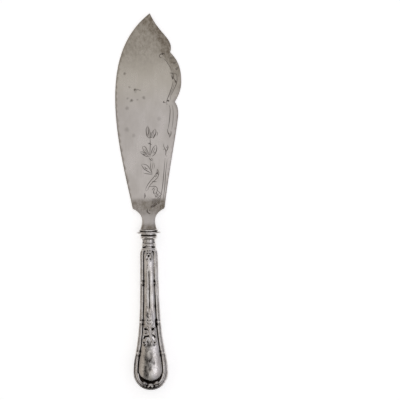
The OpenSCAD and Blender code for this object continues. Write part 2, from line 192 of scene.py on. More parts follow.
stains = {
    # spots on the blade's face, as (across, from the butt, radius, strength)
    "spots": [(-9.4, 239.9, 1.1, 0.95), (-7.9, 239.7, 0.7, 0.7), (-6.7, 239.6, 0.65, 0.6),
              (-5.5, 239.4, 0.75, 0.65), (-9.2, 238.2, 1.4, 0.25), (-12.2, 231.2, 1.3, 0.75),
              (-13.2, 230.6, 0.9, 0.5),
              (-2.6, 233.2, 1.6, 0.5), (-17.6, 252.8, 1.3, 0.55), (-14, 242, 1.0, 0.4),
              (-16, 225, 1.7, 0.35), (-15.5, 233, 1.0, 0.4), (-7.6, 231.6, 0.9, 0.35),
              (-16.5, 208, 2.2, 0.25), (-11, 203, 1.8, 0.2), (9.5, 216, 2.0, 0.2)],
    "height": 1.6,
    "ragged": 1.6,
    "grain": 2.2,
    "shade": "#5d554c",
}


def stainShare(tree):
    # Ragged round spots, set by place
    place = addNode(tree, "ShaderNodeTexCoord", None, "Object")
    wander = addNode(tree, "ShaderNodeTexNoise", None, 1, Vector=place, Scale=1 / (stains["grain"] * mm),
                     Detail=3.0)
    offset = addNode(tree, "ShaderNodeVectorMath", less, _0=wander, _1=(0.5, 0.5, 0.5))
    shaken = addNode(tree, "ShaderNodeVectorMath", {"operation": "MULTIPLY_ADD"}, _0=offset,
                     _1=[stains["ragged"] * mm] * 3, _2=place)
    total = 0.0
    for across, along, radius, strength in stains["spots"]:
        centre = inFrame([across, along, 0])
        centre[2] = stains["height"] * mm
        away = addNode(tree, "ShaderNodeVectorMath", {"operation": "DISTANCE"}, "Value", _0=shaken,
                       _1=centre.tolist())
        share = addNode(tree, "ShaderNodeMapRange", smooth, _0=away, _1=0.2 * radius * mm,
                        _2=1.3 * radius * mm, _3=strength, _4=0.0)
        total = addNode(tree, "ShaderNodeMath", most, _0=total, _1=share)
    return total


def satinSilver():
    # Rolled sterling silver, brushed fine along its length and dulled by washing: a broad soft
    # sheen, fine lines along the blade, thin mottled brown tarnish, painted shade of the bends at
    # the neck, the root and the upturned tip, a yellow cast on the upper blade and dark grey in the
    # cuts. The lines are drawn coarser than the real ones, to show.
    material, tree = newMaterial("satinRolledSilver")
    cloud = grain(tree, 14, 22)
    lines = grain(tree, 0.35, 9, 0.4, 0.75)
    mottle = addNode(tree, "ShaderNodeMath", add, _0=grain(tree, 2.2, 3.2, 0.3, 0.7, 0.45),
                     _1=grain(tree, 0.7, 1.1, 0.35, 0.7, 0.25))
    patchy = addNode(tree, "ShaderNodeMath", {"operation": "MULTIPLY_ADD"}, _0=mottle, _1=1.0, _2=0.5)
    veilAndShade = addNode(tree, "ShaderNodeMath", times, _0=worked(tree, "veilAndShade", 0, 1), _1=patchy)
    color = coats(tree, hexColor("#d6d0cc"),
                  (grain(tree, 14, 22, 0.35, 0.7, 0.8), "#c9c3bd"),
                  (worked(tree, "yellowed", 0, 1, 0.42), "#cdc5b0"),
                  # the veil: thin mottled tarnish, with painted shade of the bends at the neck, the root
                  # and the tip
                  (veilAndShade, "#7a7063"),
                  (grain(tree, 0.35, 9, 0.5, 0.75, 0.12), "#a09990"),
                  (stainShare(tree), stains["shade"]),
                  (worked(tree, "cut", 0.0, 0.5, 0.82), "#544d46"))
    blend = addNode(tree, "ShaderNodeMath", add, _0=lines, _1=cloud)
    rough = addNode(tree, "ShaderNodeMapRange", smooth, _0=blend, _1=0.0, _2=2.0, _3=0.27, _4=0.37)
    height = addNode(tree, "ShaderNodeBump", None, Strength=0.12, Distance=0.01 * mm, Height=lines)
    shader = addNode(tree, "ShaderNodeBsdfPrincipled", None, Base_Color=color, Metallic=1.0,
                     Roughness=rough, Normal=height)
    addNode(tree, "ShaderNodeOutputMaterial", None, Surface=shader)
    return material


def polishedSilver():
    # Stamped sterling silver, polished and worn, with black tarnish left in the hollows: clear
    # soft-edged reflections on the high places and dull dark grooves. The dark also carries painted
    # shade: dark patches for reflections in the boss and the leaf's shading, darker gaps between the
    # mouldings and a darker edge at the butt and on the left side
    material, tree = newMaterial("polishedStampedSilver")
    scratches = grain(tree, 0.4, 3, 0.3, 0.75)
    # the hollow value carries tarnish and painted shade
    patchy = addNode(tree, "ShaderNodeMath", add, _0=worked(tree, "hollow", 0.0, 1.0),
                     _1=grain(tree, 1.5, 2.4, 0.35, 0.75, 0.3))
    dark = addNode(tree, "ShaderNodeMapRange", smooth, _0=patchy, _1=0.16, _2=0.8)
    color = coats(tree, hexColor("#dcd8d5"), (grain(tree, 6, 9), "#c6c0ba"), (dark, "#26211d"))
    worn = addNode(tree, "ShaderNodeMapRange", smooth, _0=scratches, _3=0.13, _4=0.22)
    rough = addNode(tree, "ShaderNodeMath", {"operation": "MULTIPLY_ADD"}, _0=dark, _1=0.25, _2=worn)
    dents = addNode(tree, "ShaderNodeBump", None, Strength=0.8, Distance=0.05 * mm,
                    Height=grain(tree, 1.3, 2.2, 0.3, 0.7))
    height = addNode(tree, "ShaderNodeBump", None, Strength=0.12, Distance=0.01 * mm, Height=scratches,
                     Normal=dents)
    shader = addNode(tree, "ShaderNodeBsdfPrincipled", None, Base_Color=color, Metallic=1.0,
                     Roughness=rough, Normal=height)
    addNode(tree, "ShaderNodeOutputMaterial", None, Surface=shader)
    return material


def drawnSteel():
    # Cold-drawn steel rod: bright grey with a film of rust in patches
    material, tree = newMaterial("drawnSteel")
    rust = grain(tree, 2, 5, 0.45, 0.7)
    rough = addNode(tree, "ShaderNodeMapRange", smooth, _0=rust, _3=0.35, _4=0.7)
    shader = addNode(tree, "ShaderNodeBsdfPrincipled", None, Metallic=0.9, Roughness=rough,
                     Base_Color=coats(tree, hexColor("#8f8d8a"), (rust, "#6b4a35")))
    addNode(tree, "ShaderNodeOutputMaterial", None, Surface=shader)
    return material


def resinCement():
    # Rosin and brick-dust cement, poured hot: dull brown with fine grit
    material, tree = newMaterial("resinCement")
    grit = grain(tree, 0.8, 0.8)
    height = addNode(tree, "ShaderNodeBump", None, Strength=0.4, Distance=0.1 * mm, Height=grit)
    shader = addNode(tree, "ShaderNodeBsdfPrincipled", None, Roughness=0.75, Normal=height,
                     Base_Color=coats(tree, hexColor("#5a3a26"), (grit, "#7a5438")))
    addNode(tree, "ShaderNodeOutputMaterial", None, Surface=shader)
    return material


bladeSilver = satinSilver()
handleSilver = polishedSilver()
print("materials made")


# Camera and table

shot = {
    "frameWidth": 320.0,          # what the picture takes in, at the height of the aim
    "distance": 760.0,
    "aimAcross": 41.3,
    "aimAlong": 150.5,
    "aimHeight": -4.0,
    "lean": math.atan(0.01627),   # the handle leans a little to the left going up
    "sensor": 36.0,
}


def makeCamera():
    data = bpy.data.cameras.new("camera")
    data.sensor_width = shot["sensor"]
    data.lens = shot["sensor"] * shot["distance"] / shot["frameWidth"]
    data.clip_start = 0.01
    camera = bpy.data.objects.new("camera", data)
    aim = [shot["aimAcross"], shot["aimAlong"], shot["aimHeight"] + shot["distance"]]
    camera.location = inFrame(aim).tolist()
    camera.rotation_euler = (0, 0, -shot["lean"])
    bpy.context.scene.collection.objects.link(camera)
    bpy.context.scene.camera = camera


def seenDirectly(tree):
    # 1 for the camera and for what metal and glass show, so that the table is white there too
    total = 0.0
    for ray in ("Is Camera Ray", "Is Glossy Ray", "Is Transmission Ray"):
        total = addNode(tree, "ShaderNodeMath", most, _0=total,
                        _1=addNode(tree, "ShaderNodeLightPath", None, ray))
    return total


def makeTable():
    # A matt white table top that keeps the server's shadow
    material, tree = newMaterial("whiteTable")
    tone = coats(tree, hexColor("#f0f0f0"), (grain(tree, 3, 3), "#f3f3f3"))
    matt = addNode(tree, "ShaderNodeBsdfDiffuse", None, Color=tone)
    glow = addNode(tree, "ShaderNodeEmission", None, Color=(1, 1, 1, 1), Strength=studio["tableGlow"])
    both = addNode(tree, "ShaderNodeAddShader", None, _0=matt, _1=glow)
    mixed = addNode(tree, "ShaderNodeMixShader", None, _0=seenDirectly(tree), _1=matt, _2=both)
    addNode(tree, "ShaderNodeOutputMaterial", None, Surface=mixed)
    bpy.ops.mesh.primitive_plane_add(size=6, location=(0, 0, 0))
    table = bpy.context.object
    table.name = "table"
    table.data.materials.append(material)


studio = {
    # brightness of the sky from the left horizon to the right one, where 0 is overhead
    "leftToRight": [(-1.0, "#827d77"), (-0.86, "#b9b3ac"), (-0.7, "#d2ccc5"), (-0.52, "#dcd7d1"),
                    (-0.3, "#e2dfdc"), (-0.13, "#f0efed"), (0.02, "#f2f1f1"), (0.26, "#f8f7ff"),
                    (0.5, "#e2e1e6"), (0.68, "#c4c3c9"), (1.0, "#909092")],
    # and its share from the handle's end of the sky to the blade's end
    "buttToTip": [(-1.0, "#606060"), (-0.8, "#9a9a9a"), (-0.6, "#cdcdcd"), (-0.3, "#f2f2f2"),
                  (-0.18, "#ffffff"), (0.0, "#fbfbfb"), (0.13, "#dadada"), (0.3, "#dadada"),
                  (0.5, "#e4e4e4"), (0.75, "#d0d0d0"), (1.0, "#9a9a9a")],
    # a dark screen on the left, seen in the handle's boss, with an opening for the shaft
    "screenAcross": [(-1.0, "#000000"), (-0.52, "#000000"), (-0.44, "#ffffff"), (-0.26, "#ffffff"),
                     (-0.18, "#404040"), (-0.1, "#000000"), (1.0, "#000000")],
    "screenAlong": [(-1.0, "#000000"), (-0.7, "#000000"), (-0.5, "#ffffff"), (-0.16, "#ffffff"),
                    (-0.12, "#202020"), (-0.05, "#202020"), (-0.02, "#ffffff"), (0.04, "#ffffff"),
                    (0.12, "#000000"), (1.0, "#000000")],
    "screenTone": "#3a3532",
    "tableGlow": 0.58,
    "stripAt": (0.31, -0.28, 1.0),
    "stripSize": (0.12, 0.4),
    "stripWatts": 0.16,
    "fillAt": (0.1, 0.7, 1.1),
    "fillSize": (0.8, 0.3),
    "fillWatts": 0.05,
}


def skyBand(tree, value, stops):
    share = addNode(tree, "ShaderNodeMapRange", None, _0=value, _1=-1.0, _2=1.0)
    color = addNode(tree, "ShaderNodeValToRGB", None, Fac=share)
    band = color.node.color_ramp
    band.interpolation = "EASE"
    for place, tone in stops[1:-1]:
        band.elements.new((place + 1) / 2).color = hexColor(tone)
    band.elements[0].color = hexColor(stops[0][1])
    band.elements[len(band.elements) - 1].color = hexColor(stops[-1][1])
    return color


def makeSky():
    world = bpy.data.worlds.new("studio")
    bpy.context.scene.world = world
    world.use_nodes = True
    tree = world.node_tree
    tree.nodes.clear()
    multiplied = {"data_type": "RGBA", "blend_type": "MULTIPLY"}
    direction = addNode(tree, "ShaderNodeTexCoord", None, "Generated")
    parts = addNode(tree, "ShaderNodeSeparateXYZ", None, Vector=direction).node.outputs
    plain = addNode(tree, "ShaderNodeMix", multiplied, 2, _0=1.0,
                    _6=skyBand(tree, parts[0], studio["leftToRight"]),
                    _7=skyBand(tree, parts[1], studio["buttToTip"]))
    screen = addNode(tree, "ShaderNodeMath", times, _0=skyBand(tree, parts[0], studio["screenAcross"]),
                     _1=skyBand(tree, parts[1], studio["screenAlong"]))
    seen = addNode(tree, "ShaderNodeLightPath", None, "Is Camera Ray")
    color = coats(tree, plain, (screen, studio["screenTone"]), (seen, "#ffffff"))
    light = addNode(tree, "ShaderNodeBackground", None, Color=color, Strength=1.0)
    addNode(tree, "ShaderNodeOutputWorld", None, Surface=light)


def addLamp(name, where, aim, size, watts):
    data = bpy.data.lights.new(name, "AREA")
    data.shape = "RECTANGLE"
    data.size, data.size_y = size
    data.energy = watts
    lamp = bpy.data.objects.new(name, data)
    lamp.location = where
    away = np.asarray(aim, float) - np.asarray(where, float)
    pitch = math.atan2(away[1], math.hypot(away[0], away[2]))
    lamp.rotation_euler = (pitch, -math.atan2(away[0], -away[2]), 0)
    bpy.context.scene.collection.objects.link(lamp)


makeCamera()
makeTable()
makeSky()
addLamp("rightStrip", studio["stripAt"], (0, 0.02, 0), studio["stripSize"], studio["stripWatts"])
addLamp("backFill", studio["fillAt"], (0, 0, 0), studio["fillSize"], studio["fillWatts"])
print("camera, table and light made")


# Handle: two stamped half shells

handle = {
    "length": (handleHigh[1] - handleLow[1]) / mm,
    "lobeHalfWidth": (handleHigh[0] - handleLow[0]) / 2 / mm,
    "lobeHalfThickness": 6.8,
    "shaftHalfWidth": 6.8,
    "shaftHalfThickness": 4.9,
    "lobeTaper": 26.0,            # how far past the lobe's middle it has half narrowed
    "taperPower": 2.2,
    "sectionPower": 2.3,
    "reedBand": 3.6,
    "reedShaft": 2.6,
    "reedWidening": 1.1,
    "reedHeight": 0.42,
    "reedFullness": 0.75,         # power of the sine that rounds a reed, and next for the groove
    "grooveFullness": 0.7,
    "grooveWidth": 0.9,
    "grooveDepth": 0.85,
    "leftGrooveWidening": 0.5,
    # the right groove loses these shares of its depth, as (share, start, over how far)
    "shallowerRight": [(0.4, 74, 6), (0.3, 92, 8)],
    "bossEndFrom": 17.0,          # below this the boss is rounded off as an ellipse
    "bossEndAt": 8.5,
    "panelHeight": 0.35,
    "panelPastShoulder": 5.5,
    "bossHeight": 0.55,
    "bossLength": 23.0,
    "valleyDepth": 0.2,
    "fluteFlatness": 0.7,         # how much of the panel's crown the flutes take away
    # stretches along the handle, as (start, over how far, end, over how far)
    "flutesAlong": (62, 6, 98, 5),
    "leftGrooveAlong": (6, 5, 30, 8),
    "rubbedGrooveAlong": (13, 3, 36, 3),
    "cleanGrooveAlong": (70, 8, 109, 3),
    "mouldingLength": 16.1,
    "shoulder": 6.1,
    "ring": (5.8, 4.5),           # half width and half thickness of each turned moulding
    "hollow": (5.3, 3.7),
    "roll": (6.75, 5.0),
    "wall": 0.6,
    "cavityStart": 3.2,
    "stubLength": 10.6,
    "stubHalfWidth": 4.04,
    "stubHalfThickness": 2.74,
    "columns": 121,
    "rowStep": 0.32,
    "buttRows": 57,
    "turnedRows": 118,
    "liningColumns": 17,
    "sharpAngle": 50,
}
lobe = handle["lobeHalfWidth"]
shoulderAt = handle["length"] - handle["mouldingLength"]
stubAt = handle["length"] - handle["stubLength"]
panelEnd = shoulderAt + handle["panelPastShoulder"]


def lobeShare(y):
    return 1 / (1 + (np.maximum(0, y - lobe) / handle["lobeTaper"]) ** handle["taperPower"])


def buttShare(y):
    return np.sqrt(np.maximum(0, 1 - (np.maximum(0, lobe - y) / lobe) ** 2))


def shaftHalf(y, lobeSize, shaftSize):
    return (shaftSize + (lobeSize - shaftSize) * lobeShare(y)) * buttShare(y)


def mouldingLine():
    # The turned profile at the top of the handle as (distance from its end, half width, half
    # thickness), from the end backwards
    h = handle
    (rollW, rollT), (hollowW, hollowT), (ringW, ringT) = h["roll"], h["hollow"], h["ring"]
    startW = shaftHalf(shoulderAt, lobe, h["shaftHalfWidth"])
    startT = shaftHalf(shoulderAt, h["lobeHalfThickness"], h["shaftHalfThickness"])
    return through([
        (0, rollW - 0.45, rollT - 0.4), (0.5, rollW - 0.05, rollT - 0.05), (1.1, rollW, rollT),
        (1.7, rollW - 0.15, rollT - 0.15), (2.2, rollW - 0.75, rollT - 0.7),
        (2.6, hollowW + 0.25, hollowT + 0.15), (3.4, hollowW, hollowT), (5.1, hollowW, hollowT),
        (5.8, hollowW + 0.05, hollowT + 0.05), (6.2, ringW - 0.3, ringT - 0.3), (6.7, ringW, ringT),
        (7.6, ringW, ringT), (8.1, ringW - 0.25, ringT - 0.3), (8.5, ringW - 0.35, ringT - 0.55),
        (9.2, ringW - 0.3, ringT - 0.5), (9.7, h["shoulder"] - 0.15, ringT),
        (11, h["shoulder"] + 0.4, startT - 0.2), (13, startW - 0.2, startT),
        (h["mouldingLength"], startW, startT)], 0.08)


mouldings = mouldingLine()


def halfWidth(y):
    turned = np.interp(handle["length"] - y, mouldings[:, 0], mouldings[:, 1])
    return np.where(y < shoulderAt, shaftHalf(y, lobe, handle["shaftHalfWidth"]), turned)


def halfThickness(y):
    turned = np.interp(handle["length"] - y, mouldings[:, 0], mouldings[:, 2])
    plain = shaftHalf(y, handle["lobeHalfThickness"], handle["shaftHalfThickness"])
    return np.where(y < shoulderAt, plain, turned)


# Raised and sunk strokes, drawn on the right half and mirrored unless they are marked "single":
# (points, half width, height)
ornament = {
    "scrollEyes": [([(2.8, 49.0), (3.6, 49.2)], 0.6, -0.95, "single"),
                   ([(-3.1, 49.1), (-2.6, 49.1)], 0.52, -0.95, "single"),
                   ([(-1.9, 48.9), (-1.2, 48.7)], 0.36, -0.3, "single")],
    "scrolls": [
        ([(1.8, 47.6), (2.6, 47.2), (3.7, 47.6), (4.3, 48.9), (3.8, 50.3), (2.5, 50.8), (1.3, 50.3)],
         0.36, 0.42),
        ([(1.4, 47.0), (1.0, 45.6), (1.2, 44.4), (2.2, 43.9), (3.4, 44.3), (4.5, 45.3)], 0.4, 0.42),
        ([(4.9, 44.4), (5.2, 42.6), (5.0, 41.2)], 0.34, 0.35),
        ([(1.3, 42.6), (2.0, 41.2), (2.6, 39.6), (3.0, 37.9), (4.1, 37.0), (5.3, 37.6), (5.4, 39.1),
          (4.5, 39.8), (3.9, 39.0)], 0.38, 0.42),
        ([(2.9, 46.4), (3.9, 46.6), (4.8, 47.4)], 0.3, 0.25),
        ([(1.9, 38.4), (2.2, 36.8), (3.4, 35.6)], 0.3, 0.28)],
    "scrollShadows": [
        ([(2.9, 44.4), (3.8, 44.0), (4.4, 43.2), (4.5, 42.6)], 0.4, -0.6, "single"),
        ([(-0.7, 43.7), (-2.0, 43.6), (-3.2, 43.2), (-3.9, 42.1)], 0.5, -0.8, "single"),
        ([(-1.9, 47.5), (-2.3, 47.0)], 0.36, -0.35, "single"),
        ([(-2.2, 46.0), (-3.2, 45.4)], 0.3, -0.2, "single"),
        ([(4.2, 39.2), (4.4, 38.6)], 0.4, -0.4),
        ([(3.4, 37.1), (4.0, 36.3)], 0.3, -0.25)],
    "stem": [
        ([(0.5, 47.6), (0.7, 45.6), (0.6, 43.8)], 0.5, 0.35, "single"),
        ([(0, 48.8), (0, 49.0)], 0.75, 0.5),
        ([(0, 51.0), (0, 51.2)], 0.55, 0.4),
        ([(1.9, 60.6), (2.1, 58.8)], 0.75, 0.42, "single"),
        ([(2.2, 57.0), (2.3, 55.8)], 0.65, 0.4, "single"),
        ([(2.4, 52.8), (2.5, 52.2)], 0.6, 0.4, "single"),
        ([(-2.4, 56.2), (-2.3, 54.8)], 0.6, 0.35, "single"),
        ([(0.5, 60.8), (0.7, 57.6)], 0.5, 0.35, "single"),
        ([(-3.0, 52.4), (-2.4, 51.8)], 0.5, 0.3, "single")],
    "leafRibs": [([(0.3, 51.6 + 2.6 * k), (1.7 - 0.12 * k, 52.6 + 2.6 * k),
                   (3.0 - 0.42 * k, 55.0 + 2.5 * k)], 0.72, 0.3) for k in range(5)]
                + [([(0, 51.4), (0, 66.8)], 0.42, 0.2)],
    "leafVeins": [([(0.7, 53.4 + 2.6 * k), (2.3 - 0.36 * k, 56.0 + 2.5 * k)], 0.3, -0.12)
                  for k in range(4)],
    "husk": [
        ([(0, 108.2), (0, 104.7), (0, 100.6)], 0.8, 0.3),
        ([(0.7, 108.2), (1.8, 106.6), (1.9, 104.8), (1.2, 103.1)], 0.45, 0.38),
        ([(1.9, 111.9), (2.0, 111.2)], 0.7, 0.45),
        ([(0, 112.0), (0, 111.3)], 0.6, 0.45),
        ([(0.9, 110.1), (1.8, 109.6), (2.4, 108.6)], 0.35, 0.3),
        ([(0, 110.1), (0, 109.8)], 0.6, 0.4)],
    "huskShadows": [
        ([(0, 107.3), (0, 106.4)], 0.45, -0.8),
        ([(1.35, 104.6), (1.25, 104.2)], 0.35, -0.45),
        ([(3.0, 110.9), (3.2, 110.2)], 0.6, -0.5),
        ([(0.4, 108.8), (1.5, 108.7)], 0.25, -0.3),
        ([(1.0, 112.0), (1.0, 110.8)], 0.25, -0.35)],
    "bow": [
        ([(2.4, 5.3), (3.4, 6.0), (4.2, 6.9), (5.2, 7.2), (5.8, 6.4), (5.0, 5.7), (3.8, 5.3)],
         0.42, 0.45),
        ([(3.9, 4.3), (5.1, 4.5)], 0.45, 0.3),
        ([(6.2, 5.0), (7.0, 5.6)], 0.45, 0.3),
        ([(-2.0, 4.4), (-1.3, 4.9)], 0.85, 0.6, "single"),
        ([(0.5, 4.9), (1.2, 4.4)], 0.85, 0.6, "single"),
        ([(-0.4, 5.2), (-0.35, 4.7)], 0.6, 0.5, "single")],
    "bowShadows": [
        ([(2.4, 5.1), (2.35, 4.1)], 0.36, -0.5),
        ([(3.9, 5.2), (5.5, 5.4)], 0.34, -0.5),
        ([(-0.5, 3.6), (-0.4, 4.0)], 0.34, -0.5, "single"),
        ([(-3.4, 5.0), (-3.3, 4.2)], 0.36, -0.5, "single"),
        ([(5.8, 5.2), (6.3, 6.0)], 0.34, -0.4)],
    "bowGround": (7.0, 3.4),      # the reeds stop around the bow, this far across and along
    "bowAt": 4.6,
    "bowClearance": 1.4,
    "bowRaised": 1.5,             # how much taller than its value each stroke of the bow is
    "ropeInset": 3.3,
    "ropeFrom": 42,               # degrees round the lobe, from the butt
    "ropeTo": 88,
    "ropeBeads": 8,
    "ropeBeadSlant": 0.035,       # radians from a bead's middle to its end
    "ropeBeadReach": 0.42,
    "ropeBeadHalf": 0.42,
    "ropeBeadHeight": 0.34,
    "aside": -0.65,               # the carving sits a little to the left of the middle
    "asideAlong": (30, 4, 104, 6),
}


def ropeBeads():
    # Beads of the bow's twisted tail, along the inner edge of the reeds at the butt
    beads = []
    o = ornament
    slant, reach = o["ropeBeadSlant"], o["ropeBeadReach"]
    for angle in np.radians(np.linspace(o["ropeFrom"], o["ropeTo"], o["ropeBeads"])):
        line = []
        for turn, inset in ((-slant, reach), (slant, -reach)):
            radius = lobe - o["ropeInset"] + inset
            line.append((radius * math.sin(angle + turn), lobe - radius * math.cos(angle + turn)))
        beads.append((line, o["ropeBeadHalf"], o["ropeBeadHeight"]))
    return beads


def strokeRelief(x, y, strokes):
    # The tallest or deepest of the strokes' rounded sections at each point, sunk ones below 0
    total = np.zeros_like(x)
    for points, half, height, *single in strokes:
        line = through(points, 0.5) if len(points) > 2 else np.asarray(points, float)
        for mirror in ([1] if single or np.abs(line[:, 0]).max() < 0.05 else [1, -1]):
            side = line * [mirror, 1]
            reach = 2.5 * half
            low, high = side.min(0) - reach, side.max(0) + reach
            rows = np.where((y[:, 0] > low[1]) & (y[:, 0] < high[1]))[0]
            if len(rows) == 0:
                continue
            part = slice(rows[0], rows[-1] + 1)
            away, _ = nearest(side, np.full(len(side), half), x[part], y[part])
            shape = height * bump(away / half * 0.95)
            total[part] = np.where(np.abs(shape) > np.abs(total[part]) * 0.999, shape, total[part])
    return total


ties = {
    "places": [30.0, 54.5, 85.5],
    "ribbon": 0.62,
    "height": 0.4,
    "lean": 0.75,
    "lowerRibbon": 0.85,          # height of the ribbon that passes under, as a share
    "knot": 0.7,
    "knotHeight": 2.4,            # of the ribbon's height
    "knotInset": 0.5,
    "holeAt": 1.6,
    "hole": 1.0,
    "holeInset": 0.3,
    "holeDepth": 0.3,
    "lift": 0.12,                 # how far a ribbon stands above the reeds that it crosses
    "sunkInGroove": 0.35,
}


def tieRelief(q, band, y):
    # Two ribbons that cross over the reeds and a knot beside the groove, with a dark hole on each
    # side of it. q is how far in from the outline a point lies.
    total = np.zeros_like(q)
    holes = np.zeros_like(q)
    for place in ties["places"]:
        off = y - place
        lean = (q - band / 2) * ties["lean"]
        first = 1 / (1 + ((off - lean) / ties["ribbon"]) ** 6)
        second = 1 / (1 + ((off + lean) / ties["ribbon"]) ** 6)
        ends = ease((band + 0.4 - q) / 0.5)
        ribbons = ties["height"] * np.maximum(first, ties["lowerRibbon"] * second) * ends
        knotTop = ties["knotHeight"] * ties["height"]
        knot = knotTop * bump(np.hypot(q - band + ties["knotInset"], off) / ties["knot"])
        total = np.maximum(total, np.maximum(ribbons, knot))
        across, along = q - band - ties["holeInset"], np.abs(off) - ties["holeAt"]
        hole = bump(np.hypot(across, along) / ties["hole"])
        holes = np.maximum(holes, hole)
    return total, holes


# Dark spots, partly tarnish where no hand has polished and partly painted shade: the dark
# reflections in the boss and the shading on the leaf. As (across, from the butt, reach across,
# reach along, strength)
tarnishAndShadeSpots = [(-3.9, 16.5, 3.0, 8.0, 1.6), (-3.8, 29.5, 1.7, 5.0, 1.0), (-2.6, 26.0, 3.0, 3.0, 0.9),
        (-1.9, 22.5, 2.0, 4.5, 0.5), (-2.2, 12.4, 2.2, 3.2, 0.85),
        (1.1, 25.0, 2.4, 6.5, 1.35), (-1.0, 38.0, 3.0, 3.6, 1.4), (-1.2, 33.5, 2.2, 3.0, 0.9),
        (0.0, 18.5, 1.8, 3.5, 0.9), (1.4, 30.5, 1.6, 3.0, 0.7), (3.0, 22.5, 1.2, 3.5, 0.9),
        (-2.3, 59.0, 1.3, 4.5, 0.9), (0.0, 5.0, 4.0, 2.4, 1.0), (4.8, 5.8, 3.0, 2.6, 1.0),
        (-5.2, 5.8, 3.6, 3.0, 1.0), (2.7, 4.6, 0.8, 1.2, 0.8),
        (-2.6, 4.8, 0.7, 1.2, 0.8), (-2.0, 61.2, 0.8, 2.2, 0.8),
        (-1.2, 59.2, 0.7, 2.2, 0.8), (-0.9, 54.0, 0.7, 1.4, 0.7), (2.9, 53.4, 0.5, 0.7, 0.9),
        (-4.4, 38.6, 0.8, 0.8, 0.9), (-3.8, 36.8, 0.8, 0.7, 0.8),
        (4.6, 67.3, 0.9, 1.8, 1.2), (4.7, 53.0, 1.1, 4.4, 1.1), (-5.0, 67.5, 0.5, 3.5, 0.5),
        (-9.6, 26.0, 0.8, 3.5, 0.6), (8.6, 27.5, 0.8, 2.5, 0.5), (-4.7, 42.0, 1.0, 1.1, 0.6),
        (-4.6, 84.8, 0.6, 1.6, 0.6), (4.0, 86.6, 0.6, 1.3, 0.7), (-6.8, 55.3, 0.9, 0.7, 0.8),
        (7.3, 9.6, 1.2, 2.2, 0.7), (-7.5, 9.0, 1.6, 2.6, 0.5), (-10.6, 13.0, 0.9, 4.0, 0.5),
        (0.0, 2.0, 5.0, 0.8, 0.25)]

# How dark the handle is made, by tarnish and by painted shade: shares, and depths and reaches in
# millimetres
tarnishAndShade = {
    "grooveDepth": 0.6,           # a groove this deep is black
    "tieHoles": 1.2,
    "cleanRightFrom": 69,         # past this the right side of the shaft keeps only a small share
    "cleanRight": 0.1,
    "rubbed": 0.6,                # what the rubbed stretch of the right groove loses
    "carvedHollows": 1.1,
    "bowHollows": 1.2,
    "valley": 0.7,                # painted shade and tarnish along the line between the two flutes of the shaft
    "valleyHalf": 0.6,
    "edgeFrom": 0.4,              # the seam's edge round the lobe, darkest at the butt: tarnish and painted shade
    "edgeReach": 2.2,
    "edgeAlong": (36, 14),
    "edgePlain": 0.3,
    "edgeButt": 0.39,
    "darkSpotsOnTop": 0.35,            # how much of a dark spot of tarnish and painted shade stays on high places
    "hollowDepth": 0.22,          # a point this far below what surrounds it is a hollow
    "hollowWeight": 0.75,         # hollows and drawn tarnish and shade are added with these weights
    "drawnWeight": 0.8,
    "cleanGroove": 0.65,          # what the clean stretch of the right groove loses
    "buttEnd": 0.3,
    "lining": 0.6,
}

# Tarnish and painted shade on the turned mouldings, darkest in the hollows between the rings: (distance
# from the handle's end, share)
turnedTarnishAndShade = [(0, 0.7), (0.15, 0.0), (1.9, 0.0), (2.4, 0.55), (2.8, 0.48), (3.3, 0.42),
                 (4.8, 0.4), (5.3, 0.6), (5.9, 0.55), (6.2, 0.0), (7.8, 0.0), (8.3, 0.85),
                 (9.3, 0.9), (9.8, 0.1), (10.3, 0.0), (16.1, 0.0)]


def handleZones(x, y):
    # How far in from the outline each point lies, where the reeds end and the panel starts there,
    # and how far the panel reaches
    h = handle
    w = halfWidth(y)
    inset = np.where(y < lobe, lobe - np.hypot(x, lobe - y), w - np.abs(x))
    band = h["reedShaft"] + (h["reedBand"] - h["reedShaft"]) * lobeShare(y)
    inner = band + h["grooveWidth"]
    band = band + h["reedWidening"] * ease((h["bossEndFrom"] - y) / 8)
    band = band - h["leftGrooveWidening"] * ease(-x / 3) * within(y, *h["leftGrooveAlong"])
    bossHalf, bossEnd = lobe - h["reedBand"] - h["grooveWidth"], h["bossEndFrom"] - h["bossEndAt"]
    inside = 1 - np.hypot(x / bossHalf, (h["bossEndFrom"] - y) / bossEnd)
    inner = np.where(y < h["bossEndFrom"], inset - bossHalf * inside, inner)
    reach = np.where(y < h["bossEndFrom"], bossHalf, w - inner)
    return inset, band, inner, reach


def reedRelief(x, y, inset, band):
    # Two reeds round the edge, sunk away around the bow
    h, o = handle, ornament
    reeds = h["reedHeight"] * np.abs(np.sin(2 * math.pi * inset / band)) ** h["reedFullness"]
    ground = bump(np.hypot(x / o["bowGround"][0], (y - o["bowAt"]) / o["bowGround"][1]))
    return reeds * (1 - o["bowClearance"] * np.minimum(ground, 0.7))


def grooveRelief(x, y, inset, band, inner):
    # The groove beside the reeds, shallower on the right of the upper shaft
    across = np.clip((inset - band) / np.maximum(inner - band, 0.05), 0, 1)
    groove = -handle["grooveDepth"] * np.sin(np.pi * across) ** handle["grooveFullness"]
    shallower = 0
    for share, start, rise in handle["shallowerRight"]:
        shallower = shallower + share * ease((y - start) / rise)
    return groove * (1 - shallower * (x > 0))


def panelRelief(x, y, inset, inner, reach, flute):
    # The panel's crown, tallest at the boss. On the shaft it is two flutes that meet in a valley
    h = handle
    side = 1 - np.minimum(1, (inset - inner) / np.maximum(0.1, reach))
    swell = np.where(y < lobe, 1, np.maximum(0, 1 - ((y - lobe) / h["bossLength"]) ** 2))
    panel = (h["panelHeight"] + h["bossHeight"] * swell) * (1 - side * side)
    share = np.clip((np.abs(x) + 0.05) / np.maximum(0.1, reach), 0, 1)
    crowns = h["valleyDepth"] * (1 - (2 * share - 1) ** 2)
    return panel * (1 - h["fluteFlatness"] * flute) + crowns * flute


